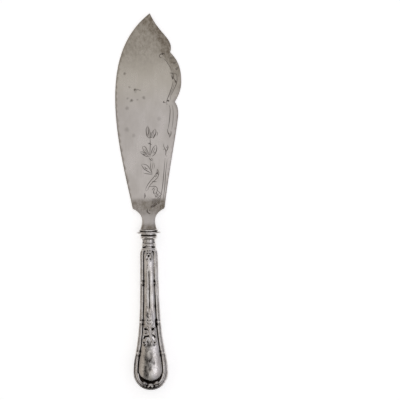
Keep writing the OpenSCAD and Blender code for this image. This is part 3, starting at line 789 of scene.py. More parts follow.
def withTarnishAndShadeSpots(dark, x, y, relief):
    # Adds the dark spots of tarnish and painted shade, which are thinner on the high places
    for across, along, reachX, reachY, strength in tarnishAndShadeSpots:
        spot = strength * bump(np.hypot((x - across) / reachX, (y - along) / reachY))
        dark = dark + spot * np.where(relief < 0.1, 1, tarnishAndShade["darkSpotsOnTop"])
    return dark


def edgeTarnishAndShade(x, y, inset):
    # The outermost edge is darker at the butt and along its left side: tarnish, with painted shade on the
    # side turned from the light
    t = tarnishAndShade
    end, fall = t["edgeAlong"]
    edge = (1 - ease((inset - t["edgeFrom"]) / t["edgeReach"])) * ease((end - y) / fall)
    corner = np.maximum(np.hypot(x, lobe - y), 0.01)
    facing = np.where(y < lobe, ((lobe - y) / corner) ** 2, 0)
    return edge * (t["edgePlain"] + t["edgeButt"] * np.maximum(facing, ease(-x / 6)))


def mouldingTarnishAndShade(x, y, middle):
    # Tarnish with painted shade in the hollows between the turned rings
    away = handle["length"] - y
    turned = np.interp(away, *zip(*turnedTarnishAndShade))
    # The ornament runs into the lowest groove on the middle line
    clear = turned * ease((np.abs(middle) - 1.4) / 1.4)
    turned = np.where((away > 8) & (away < 10.2), clear, turned)
    share = np.clip(np.abs(x) / halfWidth(y), 0, 1)
    return turned * np.where(share > 0.93, 0.4, 1)


def handleRelief(x, y):
    # Relief over the plain oval, and how dark it is made there by tarnish and painted shade
    h, o = handle, ornament
    inset, band, inner, reach = handleZones(x, y)
    onPanel = inset > inner
    onBand = (inset < band) & ~onPanel
    inGroove = ~onBand & ~onPanel
    flute = within(y, *h["flutesAlong"])
    groove = grooveRelief(x, y, inset, band, inner)
    tie, holes = tieRelief(inset, band, y)
    tiedReeds = np.maximum(reedRelief(x, y, inset, band), tie + ties["lift"] * (tie > 0.05))
    relief = np.where(onPanel, panelRelief(x, y, inset, inner, reach, flute), groove)
    relief = np.where(onBand, tiedReeds, relief)
    tieInGroove = np.maximum(groove, tie - ties["sunkInGroove"])
    relief = np.where(inGroove & (tie > 0.02), tieInGroove, relief)
    relief = relief - ties["holeDepth"] * holes * (tie < 0.3)

    middle = x - o["aside"] * within(y, *o["asideAlong"])
    raised = strokeRelief(middle, y, o["scrolls"] + o["stem"] + o["leafRibs"] + o["husk"])
    sunk = strokeRelief(middle, y, o["scrollEyes"] + o["scrollShadows"] + o["leafVeins"]
                        + o["huskShadows"])
    carving = np.where(np.abs(sunk) > np.abs(raised), sunk, raised)
    relief = relief + carving * ease((inset - inner + 0.3) / 0.8)
    bow = strokeRelief(x, y, o["bow"] + ropeBeads())
    bowCuts = strokeRelief(x, y, o["bowShadows"])
    relief = np.where(~onPanel & (bow > 0.03), np.maximum(relief, bow * o["bowRaised"]), relief)
    relief = np.where(~onPanel, relief + bowCuts, relief)
    fade = ease((panelEnd - y) / 2)
    relief = relief * fade * np.minimum(1, inset / 0.5)

    t = tarnishAndShade
    right = (x > 0) & ~onPanel
    dark = np.where(inGroove, np.clip(-relief / t["grooveDepth"], 0, 1), 0)
    dark = dark + t["tieHoles"] * holes * (tie < 0.3)
    dark = np.where(right & (y > t["cleanRightFrom"]), t["cleanRight"], 1) * dark
    dark = dark * (1 - t["rubbed"] * right * within(y, *h["rubbedGrooveAlong"]))
    dark = dark + t["carvedHollows"] * np.clip(-sunk, 0, 1)
    dark = dark + t["bowHollows"] * np.clip(-bowCuts, 0, 1)
    # painted shade and tarnish in the flutes' valley and along the outer edge
    dark = dark + t["valley"] * flute * bump(x / t["valleyHalf"]) + edgeTarnishAndShade(x, y, inset)
    dark = withTarnishAndShadeSpots(dark, x, y, relief) * fade
    return relief, dark + mouldingTarnishAndShade(x, y, middle)


def softened(grid, reach):
    # The grid's values averaged over a few neighbours each way, three times
    out = grid
    n = 2 * reach + 1
    for _ in range(3):
        for axis in (0, 1):
            margins = [(reach, reach) if a == axis else (0, 0) for a in (0, 1)]
            total = np.cumsum(np.pad(out, margins, mode="edge"), axis=axis)
            total = np.insert(total, 0, 0, axis=axis)
            out = (np.take(total, range(n, total.shape[axis]), axis=axis)
                   - np.take(total, range(0, total.shape[axis] - n), axis=axis)) / n
    return out


def handleRows():
    # Places of the skin's rows, close together where the outline turns
    quarter = np.linspace(0, math.pi / 2, handle["buttRows"] + 1)[1:]
    butt = lobe * (1 - np.cos(quarter))
    shaft = np.arange(lobe + handle["rowStep"], shoulderAt, handle["rowStep"])
    turned = np.linspace(shoulderAt, handle["length"], handle["turnedRows"])
    return np.concatenate([butt, shaft, turned])


def cavityRing(y, stub=False):
    # Half a ring of the lining, round the filler or round the bolster's stub
    angles = np.linspace(0, math.pi, handle["liningColumns"])
    c, s = np.cos(angles), np.sin(angles)
    power = 2 / handle["sectionPower"]
    gap = handle["grooveDepth"] + handle["wall"]
    w = handle["stubHalfWidth"] if stub else float(halfWidth(y)) - gap
    t = handle["stubHalfThickness"] if stub else float(halfThickness(y)) - gap
    return np.column_stack([w * np.sign(c) * np.abs(c) ** power, np.full_like(c, y), t * s ** power])


def shellSkin(rows, share):
    # The outer skin as a grid of points, moved out along the oval's normals by the relief, and
    # how dark it is made by tarnish and painted shade
    p = handle["sectionPower"]
    y = np.repeat(rows[:, None], len(share), 1)
    w, t = halfWidth(y), halfThickness(y)
    x = w * share
    z = t * np.maximum(0, 1 - np.abs(share) ** p) ** (1 / p)
    relief, dark = handleRelief(x, y)
    step = 0.01
    dw = (halfWidth(y + step) - halfWidth(y - step)) / (2 * step)
    dt = (halfThickness(y + step) - halfThickness(y - step)) / (2 * step)
    nx = np.abs(share) ** (p - 1) * np.sign(share) / w
    nz = (z / t) ** (p - 1) / t
    ny = -(np.abs(share) ** p * dw / w + (z / t) ** p * dt / t)
    n = np.stack([nx, ny, nz], -1)
    n /= np.linalg.norm(n, axis=-1, keepdims=True)
    skin = np.stack([x, y, z], -1) + n * relief[..., None]
    skin[:, [0, -1], 2] = 0
    below = softened(relief, 4) - relief
    # The shaft's right groove is rubbed clean
    clean = tarnishAndShade["cleanGroove"] * within(y, *handle["cleanGrooveAlong"]) * ease(x - 2)
    sunk = np.clip(below * (1 - clean) / tarnishAndShade["hollowDepth"], 0, 1)
    return skin, np.clip(tarnishAndShade["hollowWeight"] * sunk + tarnishAndShade["drawnWeight"] * dark, 0, 1)


def shellLining(rows):
    # The smooth inner wall as half rings, first round the filler and then round the stub
    start = handle["cavityStart"]
    places = [start] + [r for r in rows if start < r < stubAt] + [stubAt]
    rings = [cavityRing(r) for r in places]
    rings += [cavityRing(stubAt, True)] + [cavityRing(r, True) for r in rows if r > stubAt]
    return places, rings


def seamFaces(rows, grid, inside, places):
    # The flat seam between the skin's edge rows and the lining's rows, which share their places
    faces = []
    first = int(np.searchsorted(rows, handle["cavityStart"], side="right"))
    ringOf = {}
    for k, r in enumerate(places):
        ringOf.setdefault(round(float(r), 6), k)
    lastCavity = len(places) - 1
    for edge, reverse in ((0, False), (-1, True)):
        outer = [int(grid[i, edge]) for i in range(first, len(rows))]
        inner = []
        for i in range(first, len(rows)):
            if rows[i] < stubAt:
                k = ringOf[round(float(rows[i]), 6)]
            else:
                k = lastCavity + 1 + int(np.searchsorted(rows[rows > stubAt], rows[i]) + 1)
            inner.append(int(inside[k, edge]))
        crossing = int(np.searchsorted(rows[first:], stubAt))
        loops = []
        for i in range(len(outer) - 1):
            # The row that crosses the stub's end takes in the lining's step there
            middle = []
            if i + 1 == crossing:
                middle = [int(inside[lastCavity + 1, edge]), int(inside[lastCavity, edge])]
            loops.append([outer[i], outer[i + 1], inner[i + 1]] + middle + [inner[i]])
        loops.append([int(inside[0, edge]), outer[0], inner[0]])
        faces += [loop[::-1] for loop in loops] if reverse else loops
    butt = [0] + [int(grid[i, 0]) for i in range(first + 1)] + [int(inside[0, 0]), int(inside[0, -1])]
    faces.append(butt + [int(grid[i, -1]) for i in range(first, -1, -1)])
    return faces


def halfShell(name, flip):
    # One stamped half: dense outer skin, smooth lining and the flat seam between them
    rows = handleRows()
    share = np.sin(np.linspace(-math.pi / 2, math.pi / 2, handle["columns"]))[::-1]
    skin, hollow = shellSkin(rows, share)
    places, rings = shellLining(rows)
    m = handle["liningColumns"]
    # Point 0 is the butt's end
    grid = np.arange(hollow.size).reshape(hollow.shape) + 1
    inside = np.arange(len(rings) * m).reshape(len(rings), m) + grid.max() + 1
    faces = [(0, b, a) for a, b in zip(grid[0, :-1], grid[0, 1:])]
    quads = np.stack([grid[:-1, :-1], grid[:-1, 1:], grid[1:, 1:], grid[1:, :-1]], -1)
    faces += quads.reshape(-1, 4).tolist()
    quads = np.stack([inside[:-1, :-1], inside[1:, :-1], inside[1:, 1:], inside[:-1, 1:]], -1)
    faces += quads.reshape(-1, 4).tolist()
    faces.append(inside[0].tolist())
    faces += seamFaces(rows, grid, inside, places)
    # The mouth of the shell, in two halves
    middle, liningMiddle = (len(share) - 1) // 2, (m - 1) // 2
    for a, b, c, d in ((0, middle, 0, liningMiddle), (middle, len(share) - 1, liningMiddle, m - 1)):
        faces.append(grid[-1, a:b + 1].tolist() + inside[-1, c:d + 1][::-1].tolist())

    points = np.vstack([[[0, 0, 0]], skin.reshape(-1, 3), np.vstack(rings)])
    ends, lining = [tarnishAndShade["buttEnd"]], np.full(len(rings) * m, tarnishAndShade["lining"])
    shares = np.concatenate([ends, hollow.reshape(-1), lining])
    if flip:
        points = points * [1, 1, -1]
    else:
        faces = [f[::-1] for f in faces]
    piece = makeObject(name, points, faces, {"hollow": shares}, sharpAngle=handle["sharpAngle"])
    piece.data.materials.append(handleSilver)
    return piece


handleFront = halfShell("handleFront", False)
handleBack = halfShell("handleBack", True)
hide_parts("handle_front")
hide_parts("handle_back")
for piece in (handleFront, handleBack):
    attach(piece, "root")
print("handle made")


# Blade: one engraved plate

blade = {
    "neckHalfWidth": 5.3,
    "neckLength": 6.6,
    "neckFlare": 1.3,
    "rootHalfWidth": 13.0,
    "rootAt": 10.3,
    "bellyWidth": 25.5,
    "bellyAt": 96.5,
    "lowLobe": (86.0, 25.0),          # places count from the narrowest point of the neck
    "lowNotch": (95.1, 22.4),
    "middleLobe": (112.5, 27.85),
    "topNotch": (135.1, 19.3),
    "topLobe": (138.5, 20.0),
    "tipAcross": 3.6,
    "plateThickness": 1.6,
    "neckThickness": 4.4,
    "edgeRadius": 0.5,
    "rootBendAt": 19.0,
    "straightFall": 0.78,
    "edgeVeil": 0.6,
    # how dark the neck and the root are, as (distance from the butt, share): tarnish and painted shade of
    # the bend
    "rootVeilAndShade": [(127, 0.65), (129, 0.78), (131, 0.6), (133, 0.2), (134.5, 0.0), (137, 0.0),
                 (140.5, 0.46), (145, 0.66), (148.5, 0.76), (150.2, 0.6), (153, 0.2), (158, 0)],
    "rootVeilAndShadeRight": 0.25,            # how much darker the root is on its right
    # the tip's darkening is tarnish and painted shade of its upturn
    "tipVeilAndShade": 0.6,
    "tipVeilAndShadeFrom": (236, 44),         # distance from the butt, and how far it takes to build up
    "backVeilAndShade": 0.45,
    "backVeilAndShadeFrom": (284, 20),
    "borderVeil": 0.35,
    "borderWidth": 9.5,
    "borderAlong": (228, 14, 300, 16),
    "yellowedFrom": (205, 60),
    "tipBendLength": 46.0,
    "tipRise": 3.0,
    "tongueHalfWidth": 4.5,
    "tongueThickness": 2.2,
    "tongueLength": 5.0,
    "curveSteps": 34,
    "edgeSteps": 5,
    "gridStep": 2.4,
    "netMargin": 0.45,                # the net keeps this far from the outline
    "bendStep": 0.9,
    "cutSlope": 0.5,                  # depth of an engraved cut for each millimetre of half width
}
bolsterEnd = (bolsterHigh[1] - buttY) / mm
neckAt = bolsterEnd + blade["neckLength"]
bladeLength = (bladeHigh[1] - buttY) / mm - neckAt
plateFloor = -seamZ / mm


def bladeEdges():
    # The belly's and the back's outlines from the neck to the tip, as (place, reach) lines. The
    # inner points of each curve say how full it is.
    b, n = blade, blade["curveSteps"]
    root, rootW, neckW = b["rootAt"], b["rootHalfWidth"], b["neckHalfWidth"]
    end, flare = b["neckLength"], b["neckFlare"]
    start = [[(-end, neckW + flare)],
             bezier((-end, neckW + flare), (-0.7 * end, neckW + 0.4 * flare), (-0.3 * end, neckW),
                    (0, neckW), n // 2),
             bezier((0, neckW), (1.5, neckW), (root - 3.8, neckW + 0.2), (root - 0.6, rootW - 0.4), n)]
    corner = (root + 0.8, rootW)
    at, wide = b["bellyAt"], b["bellyWidth"]
    belly = start + [
        [corner],
        bezier(corner, (root + 0.39 * (at - root), rootW + 7), (at - 27, wide), (at, wide), n),
        bezier((at, wide), (at + 29, wide), (bladeLength - 16, wide - 7),
               (bladeLength, -b["tipAcross"]), n)]
    low, dip, mid = b["lowLobe"], b["lowNotch"], b["middleLobe"]
    notch, top = b["topNotch"], b["topLobe"]
    back = start + [
        [corner],
        bezier(corner, (root + 32, rootW + 4), (low[0] - 7.6, low[1]), low, n),
        bezier(low, (low[0] + 4, low[1]), (dip[0] - 2.4, dip[1] + 1.9), dip, n // 2),
        bezier(dip, (dip[0] + 6.9, mid[1] - 1.2), (mid[0] - 6, mid[1]), mid, n // 2),
        bezier(mid, (mid[0] + 11.7, mid[1]), (notch[0] - 5.4, notch[1] + 4.9), notch, n),
        bezier(notch, (notch[0] + 1.1, notch[1] + 0.5), (top[0] - 1.1, top[1]), top, 6),
        bezier(top, (top[0] + 8.5, top[1]), (bladeLength - 15, b["tipAcross"] + 6.4),
               (bladeLength, b["tipAcross"]), n)]
    return np.vstack(belly), np.vstack(back)


bellyEdge, backEdge = bladeEdges()


def plateThickness(y):
    b = y - neckAt
    full = blade["neckThickness"] + (blade["plateThickness"] - blade["neckThickness"]) * ease(
        (b + blade["neckLength"]) / (blade["rootAt"] + blade["neckLength"]))
    return np.where(y < bolsterEnd - 1e-6, blade["tongueThickness"], full)


def plateMiddle(y):
    # The neck falls straight from the bolster and rounds into the flat of the blade
    b = y - neckAt
    k = blade["straightFall"]
    s = np.clip((b + blade["neckLength"]) / (blade["rootBendAt"] + blade["neckLength"]), 0, 1)
    fall = np.where(s < k, 2 * s / (1 + k), 1 - (1 - s) ** 2 / (1 - k * k))
    up = np.maximum(0, b - (bladeLength - blade["tipBendLength"])) / blade["tipBendLength"]
    return (blade["plateThickness"] / 2 + plateFloor) * fall + blade["tipRise"] * up * up


# Engraving, in the handle's axes. A leaf is (base, tip, half width).
engraving = {
    "leaves": [
        ((1.4, 144.9), (6.6, 148.2), 0.8), ((21.2, 247.6), (20.7, 252.4), 0.8),
        ((22.5, 247.4), (24.2, 244.0), 0.4), ((18.6, 264.3), (21.1, 265.5), 0.6),
        ((21.2, 260.2), (23.6, 261.4), 0.6), ((23.2, 255.2), (26.0, 257.4), 0.6)],
    # Cuts as (points, half width)
    "cuts": [
        # Tulip
        ([(1.8, 200.2), (-0.3, 202.4), (-0.9, 205.2), (-0.9, 208.4), (0.1, 210.9)], 0.3),
        ([(0.1, 210.9), (1.4, 208.2), (2.1, 205.6), (2.5, 203.2), (1.9, 200.6)], 0.2),
        ([(1.6, 206.8), (2.2, 204.4), (2.7, 201.4)], 0.24),
        ([(2.2, 205.0), (3.4, 204.9), (4.4, 205.4)], 0.22),
        ([(0.2, 210.4), (0.6, 208.0), (0.9, 205.0), (1.7, 202.2)], 0.28),
        ([(5.4, 207.2), (4.8, 204.6), (3.6, 201.2)], 0.2),
        ([(1.0, 202.4), (2.0, 201.2), (3.2, 201.6), (4.2, 200.6)], 0.28),
        ([(0.9, 201.8), (0.2, 203.6), (0.9, 205.2)], 0.22),
        ([(2.4, 200.8), (3.2, 203.2), (4.1, 205.7), (6.3, 208.4)], 0.22),
        ([(6.3, 208.4), (6.8, 206.6), (6.7, 204.9), (5.9, 202.6), (4.4, 200.3)], 0.32),
        ([(7.0, 205.8), (8.0, 205.2), (7.9, 203.4), (6.8, 201.8)], 0.18),
        ([(6.2, 204.4), (5.2, 202.2), (4.2, 200.4)], 0.3),
        # Stalk with its knots
        ([(1.9, 202.6), (2.1, 199.4), (2.2, 196.2), (1.9, 191.5), (1.7, 187.4), (2.1, 184.8)], 0.24),
        ([(-0.1, 196.5), (1.8, 196.2), (3.7, 195.4)], 0.3), ([(0.6, 197.2), (2.1, 196.5)], 0.2),
        ([(0.7, 185.4), (1.9, 183.6), (3.9, 182.4)], 0.28),
        ([(3.9, 182.4), (3.4, 184.0), (2.0, 184.9)], 0.2),
        ([(2.4, 181.9), (1.5, 183.0)], 0.2),
        ([(2.3, 182.0), (2.1, 178.0), (2.9, 174.2), (3.5, 171.8)], 0.22),
        # Upper pair of leaves and the long one under it
        ([(1.6, 186.8), (-0.1, 188.2), (-2.6, 189.8), (-3.8, 192.2), (-4.3, 194.5)], 0.24),
        ([(-4.3, 194.5), (-2.2, 194.0), (-0.9, 191.9), (0.5, 189.0), (1.6, 186.8)], 0.26),
        ([(-3.2, 192.8), (-1.6, 190.8), (0.2, 188.4)], 0.14),
        ([(-6.4, 189.8), (-4.3, 189.9), (-2.6, 188.9), (-0.1, 186.8), (1.5, 186.0)], 0.24),
        ([(-6.4, 189.8), (-4.3, 188.0), (-2.5, 186.8), (-0.1, 185.9), (1.5, 186.0)], 0.26),
        ([(-3.9, 188.8), (-2.9, 187.6), (-1.8, 187.6)], 0.28),
        ([(2.0, 186.6), (3.1, 190.0), (4.1, 192.6), (5.6, 194.4), (6.9, 195.3)], 0.26),
        ([(6.9, 195.3), (7.3, 193.2), (7.0, 190.8), (5.9, 188.4), (4.4, 186.8), (2.8, 185.8)], 0.3),
        ([(3.6, 188.4), (4.8, 190.6), (5.9, 193.4)], 0.2), ([(4.5, 188.0), (5.9, 190.2)], 0.22),
        # Lower leaf, its branch and two faint leaves
        ([(-5.6, 179.9), (-3.4, 180.0), (-1.3, 179.3), (0.8, 177.2), (2.1, 174.8), (3.3, 172.0)], 0.24),
        ([(-5.6, 179.9), (-4.0, 177.4), (-2.6, 175.7), (-0.5, 174.4), (2.0, 172.8), (3.3, 172.0)], 0.3),
        ([(-3.2, 178.2), (-1.6, 176.8), (0.3, 175.2)], 0.18), ([(-2.6, 177.2), (-1.0, 175.7)], 0.2),
        ([(-3.9, 172.8), (-1.3, 172.3), (1.4, 171.9), (3.8, 171.4)], 0.24),
        ([(4.5, 181.2), (3.6, 178.6), (3.9, 175.0)], 0.14),
        ([(4.5, 181.2), (5.2, 178.6), (4.6, 175.6)], 0.14),
        # Long leaf that the stalk rises from
        ([(-2.6, 158.4), (-1.3, 161.9), (1.2, 165.7), (3.8, 168.6), (5.8, 171.1), (7.0, 174.0),
          (7.4, 176.3)], 0.25),
        ([(-2.4, 158.2), (-0.6, 159.2), (0.7, 161.9), (3.1, 164.9), (5.3, 166.8), (7.3, 168.8),
          (8.7, 172.1), (9.0, 174.2)], 0.22),
        ([(7.4, 176.3), (8.0, 174.4), (7.9, 171.9), (8.6, 170.4)], 0.34),
        ([(6.4, 171.2), (7.8, 173.6)], 0.34), ([(5.6, 169.4), (7.2, 171.0)], 0.28),
        ([(2.8, 166.0), (4.9, 165.7), (7.1, 165.8)], 0.24),
        # Loops under it
        ([(-0.3, 160.3), (0.8, 161.6), (3.4, 162.1), (5.8, 161.9), (7.1, 160.6), (7.0, 158.2),
          (6.2, 155.9), (7.6, 153.6), (8.6, 151.4)], 0.24),
        ([(5.8, 160.4), (4.6, 159.0), (4.1, 157.0), (5.0, 155.8), (6.1, 156.8)], 0.26),
        ([(2.9, 158.6), (4.0, 160.4), (5.6, 161.2)], 0.24), ([(4.1, 157.7), (4.8, 156.8)], 0.4),
        ([(5.2, 155.4), (6.0, 153.4)], 0.24), ([(-3.0, 157.2), (-2.8, 154.6), (-3.2, 152.2)], 0.32),
        ([(-2.0, 155.6), (-2.4, 153.6)], 0.2), ([(2.4, 145.8), (4.6, 146.6), (7.4, 148.0)], 0.45),
        ([(-0.8, 144.3), (-1.1, 142.2), (0.2, 140.6), (1.8, 140.4)], 0.42),
        ([(0.2, 143.6), (1.4, 142.2)], 0.3),
        # Hatching beside the loops
        ([(5.2, 158.0), (10.2, 152.6)], 0.16),
        ([(6.8, 159.4), (11.2, 154.6)], 0.16),
        ([(4.6, 155.6), (7.8, 152.2)], 0.16),
        ([(4.8, 152.4), (9.8, 157.8)], 0.14),
        ([(6.8, 151.8), (10.8, 156.2)], 0.14),
        # Border of the straight part
        ([(8.6, 147.6), (9.6, 153.0), (10.8, 158.4), (11.6, 163.4), (12.2, 168.6), (12.8, 174.0),
          (13.3, 179.4), (14.0, 185.2)], 0.24),
        ([(11.6, 149.4), (12.3, 155.0), (13.1, 160.8), (13.6, 166.6), (14.1, 172.4), (14.8, 178.4),
          (15.6, 184.6)], 0.22),
        ([(12.7, 196.4), (13.0, 193.8), (14.2, 191.4), (14.6, 189.6), (14.4, 187.2), (15.4, 185.4)], 0.28),
        ([(15.9, 195.4), (16.3, 193.2), (15.4, 190.8), (14.6, 189.6)], 0.32),
        ([(13.5, 192.2), (12.6, 190.8)], 0.28), ([(15.6, 194.0), (14.8, 192.4)], 0.3),
        ([(16.0, 208.4), (16.4, 205.4), (17.6, 202.6), (17.6, 200.6)], 0.28),
        ([(18.8, 206.6), (18.9, 204.0), (17.8, 201.2)], 0.28), ([(17.2, 205.0), (17.5, 203.4)], 0.26),
        ([(16.6, 207.6), (17.5, 212.6), (18.2, 218.2), (18.5, 223.6), (17.7, 227.6)], 0.26),
        ([(19.4, 206.8), (20.4, 212.4), (20.9, 218.4), (20.8, 223.8), (20.0, 228.0)], 0.18),
        # Border of the scalloped lobes
        ([(13.2, 230.0), (14.2, 228.9), (15.6, 229.4), (16.1, 231.0), (17.2, 233.8), (19.2, 238.8),
          (20.6, 243.0), (21.1, 246.6)], 0.26),
        ([(18.9, 230.6), (19.3, 234.6), (21.4, 238.8), (23.3, 242.8), (24.3, 246.0), (24.2, 251.2),
          (21.6, 252.6), (19.3, 253.2)], 0.22),
        ([(20.2, 253.4), (19.4, 256.6), (17.8, 259.6), (16.0, 262.4), (13.4, 264.8)], 0.2),
        ([(13.4, 264.8), (10.9, 265.6), (10.8, 267.2), (12.4, 268.2), (14.6, 268.4), (15.4, 267.2)], 0.28),
        ([(20.9, 247.2), (21.0, 249.8)], 0.42), ([(12.9, 230.2), (14.2, 228.8)], 0.7),
        ([(15.8, 230.9), (18.3, 230.1)], 0.6), ([(15.4, 228.4), (16.4, 227.4)], 0.3),
        ([(17.6, 233.0), (19.4, 237.0), (21.2, 241.0), (22.2, 244.4)], 0.14),
        ([(18.2, 252.9), (20.2, 252.5), (22.4, 251.4)], 0.26),
        ([(12.2, 267.4), (14.0, 268.2)], 0.42), ([(21.6, 249.0), (23.4, 246.0)], 0.2)],
    "lattice": {"low": (2.2, 147.4), "high": (9.4, 152.8), "spacing": 1.5, "halfWidth": 0.15},
    "sampleStep": 0.7,
    "slantingCuts": 3,            # on each side of a broad leaf
    "broadLeaf": 0.7,
    "widening": 1.2,              # how much wider than its value each cut is made, to show
}


def leafCuts(base, tip, half):
    # A leaf's two bowed edges, its middle rib and short slanting cuts between them
    base, tip = np.array(base), np.array(tip)
    length = np.linalg.norm(tip - base)
    forward = (tip - base) / length
    across = np.array([-forward[1], forward[0]])
    cuts = []
    for side in (1, -1):
        bow = [base, base + 0.3 * length * forward + side * half * 0.85 * across,
               base + 0.62 * length * forward + side * half * 0.9 * across, tip]
        cuts.append((bow, 0.17 + 0.05 * half))
    cuts.append(([base + 0.05 * length * forward, base + 0.8 * length * forward], 0.14))
    for k in range(engraving["slantingCuts"] if half > engraving["broadLeaf"] else 0):
        for side in (1, -1):
            root = base + (0.14 + 0.16 * k) * length * forward
            end = root + 0.16 * length * forward + side * half * (0.62 - 0.09 * k) * across
            cuts.append(([root, end], 0.11 + 0.05 * half))
    return cuts


def latticeCuts(low, high, spacing, halfWidth):
    # Crossing slanted cuts that fill a box with diamonds
    cuts = []
    reach = (high[0] - low[0]) + (high[1] - low[1])
    for lean in (1, -1):
        for k in np.arange(spacing, reach, spacing):
            t = np.linspace(-30, 30, 601)
            x = (low[0] if lean == 1 else high[0]) + lean * t
            y = high[1] - k + t
            inside = (x > low[0]) & (x < high[0]) & (y > low[1]) & (y < high[1])
            if inside.sum() > 8:
                ends = np.column_stack([x, y])[inside]
                cuts.append(([ends[0], ends[-1]], halfWidth))
    return cuts


def allCuts():
    # Every cut as (line, half width at each of its points), pointed at both ends
    cuts = []
    for leaf in engraving["leaves"]:
        cuts += leafCuts(*leaf)
    cuts += engraving["cuts"] + latticeCuts(**engraving["lattice"])
    lines = []
    for points, half in cuts:
        if len(points) > 2:
            line = through(points, engraving["sampleStep"])
        else:
            a, b = np.asarray(points[0], float), np.asarray(points[1], float)
            n = max(3, int(np.linalg.norm(b - a) / engraving["sampleStep"]) + 1)
            line = a + (b - a) * np.linspace(0, 1, n)[:, None]
        along = np.linspace(0, 1, len(line))
        taper = np.minimum(1, 2.6 * np.minimum(along, 1 - along) + 0.02) ** 0.5
        widths = engraving["widening"] * half * taper
        widths[[0, -1]] = 0
        lines.append((line, widths))
    return lines


def normalsOf(loop):
    # Inward normals of a closed, anticlockwise line, longer at its corners
    before = loop - np.roll(loop, 1, 0)
    after = np.roll(loop, -1, 0) - loop
    before /= np.linalg.norm(before, axis=1)[:, None]
    after /= np.linalg.norm(after, axis=1)[:, None]
    a = np.column_stack([-before[:, 1], before[:, 0]])
    b = np.column_stack([-after[:, 1], after[:, 0]])
    n = a + b
    n /= np.linalg.norm(n, axis=1)[:, None]
    return n / np.maximum(0.6, (n * a).sum(1))[:, None]


def insideLoop(loop, x, y):
    # Whether each point lies inside a closed line
    inside = np.zeros(np.shape(x), bool)
    for (ax, ay), (bx, by) in zip(loop, np.roll(loop, -1, 0)):
        if ay == by:
            continue
        crosses = ((ay > y) != (by > y)) & (x < (bx - ax) * (y - ay) / (by - ay) + ax)
        inside ^= crosses
    return inside


def bladeOutline():
    # The plate seen from above, anticlockwise from the tongue's left end
    b = blade
    tongueY = bolsterEnd - b["tongueLength"]
    right = backEdge[:, ::-1] + [0, neckAt]
    left = (bellyEdge[:-1, ::-1] * [-1, 1] + [0, neckAt])[::-1]
    half = b["tongueHalfWidth"]
    corner, gap = 0.3, 0.02
    tongue = [(-half, bolsterEnd - gap), (-half, tongueY + corner), (-half + corner, tongueY),
              (half - corner, tongueY), (half, tongueY + corner), (half, bolsterEnd - gap)]
    return np.vstack([tongue, right, left])


def fillFace(loop, cuts):
    # Triangles inside the loop, with a fine net over the bends and edges along every cut
    points = [tuple(p) for p in loop]
    n = len(points)
    edges = [(i, (i + 1) % n) for i in range(n)]
    # The outline starts with the tongue's points, and these two edges part it from the neck
    edges += [(0, 5), (6, n - 1)]
    for line, widths in cuts:
        step = np.gradient(line, axis=0)
        step /= np.linalg.norm(step, axis=1)[:, None]
        side = np.column_stack([-step[:, 1], step[:, 0]]) * widths[:, None]
        k = len(points)
        m = len(line)
        points += [tuple(p) for p in line]
        edges += [(k + i, k + i + 1) for i in range(m - 1)]
        for way in (1, -1):
            j = len(points)
            points += [tuple(p) for p in (line + way * side)[1:-1]]
            chain = [k] + list(range(j, j + m - 2)) + [k + m - 1]
            edges += list(zip(chain[:-1], chain[1:]))
    rows = list(np.arange(bolsterEnd + 0.4, neckAt + blade["rootBendAt"] + 2, blade["bendStep"]))
    rows += list(np.arange(rows[-1] + blade["gridStep"], loop[:, 1].max(), blade["gridStep"]))
    netHalf = 30
    gx, gy = [], []
    for k, y in enumerate(rows):
        xs = np.arange(-netHalf, netHalf, blade["gridStep"]) + (k % 2) * blade["gridStep"] / 2
        gx += xs.tolist()
        gy += [y] * len(xs)
    gx, gy = np.array(gx), np.array(gy)
    closed = np.vstack([loop, loop[:1]])
    away, _ = nearest(closed, np.ones(len(closed)), gx, gy)
    keep = insideLoop(loop, gx, gy) & (away > blade["netMargin"])
    points += list(zip(gx[keep].tolist(), gy[keep].tolist()))
    found = delaunay_2d_cdt([tuple(map(float, p)) for p in points], edges, [], 1, 1e-5)
    xy = np.array([tuple(v) for v in found[0]])
    origin = {}
    for i, sources in enumerate(found[3]):
        for s in sources:
            origin.setdefault(s, i)
    rim = [origin[i] for i in range(n)]
    sharp = [e for e, sources in zip(found[1], found[4]) if any(s >= n for s in sources)]
    return xy, [tuple(f) for f in found[2]], rim, sharp


def cutDepth(xy, cuts):
    # Depth of the engraving at each point and its share of the cut's full depth
    depth = np.zeros(len(xy))
    share = np.zeros(len(xy))
    for line, widths in cuts:
        low, high = line.min(0) - 0.8, line.max(0) + 0.8
        near = np.where((xy > low).all(1) & (xy < high).all(1))[0]
        if len(near):
            away, wide = nearest(line, widths, xy[near, 0], xy[near, 1])
            part = np.where(wide > 0.04, np.clip(1 - away / np.maximum(wide, 0.04), 0, 1), 0)
            part[part < 0.02] = 0
            depth[near] = np.maximum(depth[near], part * wide * blade["cutSlope"])
            share[near] = np.maximum(share[near], part)
    return depth, share


def veilAndShadeOver(xy):
    # Thin tarnish and painted shade: tarnish over the engraved border, and tarnish with painted
    # shade of the bends at the upturned tip and around the neck and root
    x, y = xy[:, 0], xy[:, 1]
    b = blade
    (tipFrom, tipReach), (backFrom, backReach) = b["tipVeilAndShadeFrom"], b["backVeilAndShadeFrom"]
    tip = b["tipVeilAndShade"] * ease((y - tipFrom) / tipReach)
    tip = tip + b["backVeilAndShade"] * ease((y - backFrom + 0.7 * x) / backReach)
    back = np.interp(y - neckAt, backEdge[:, 0], backEdge[:, 1])
    border = ease((x - back + b["borderWidth"]) / 4) * within(y, *b["borderAlong"])
    root = np.interp(y, *zip(*b["rootVeilAndShade"])) * (1 + b["rootVeilAndShadeRight"] * ease((x - 4) / 8))
    return np.clip(tip + border * b["borderVeil"] + root, 0, 1)


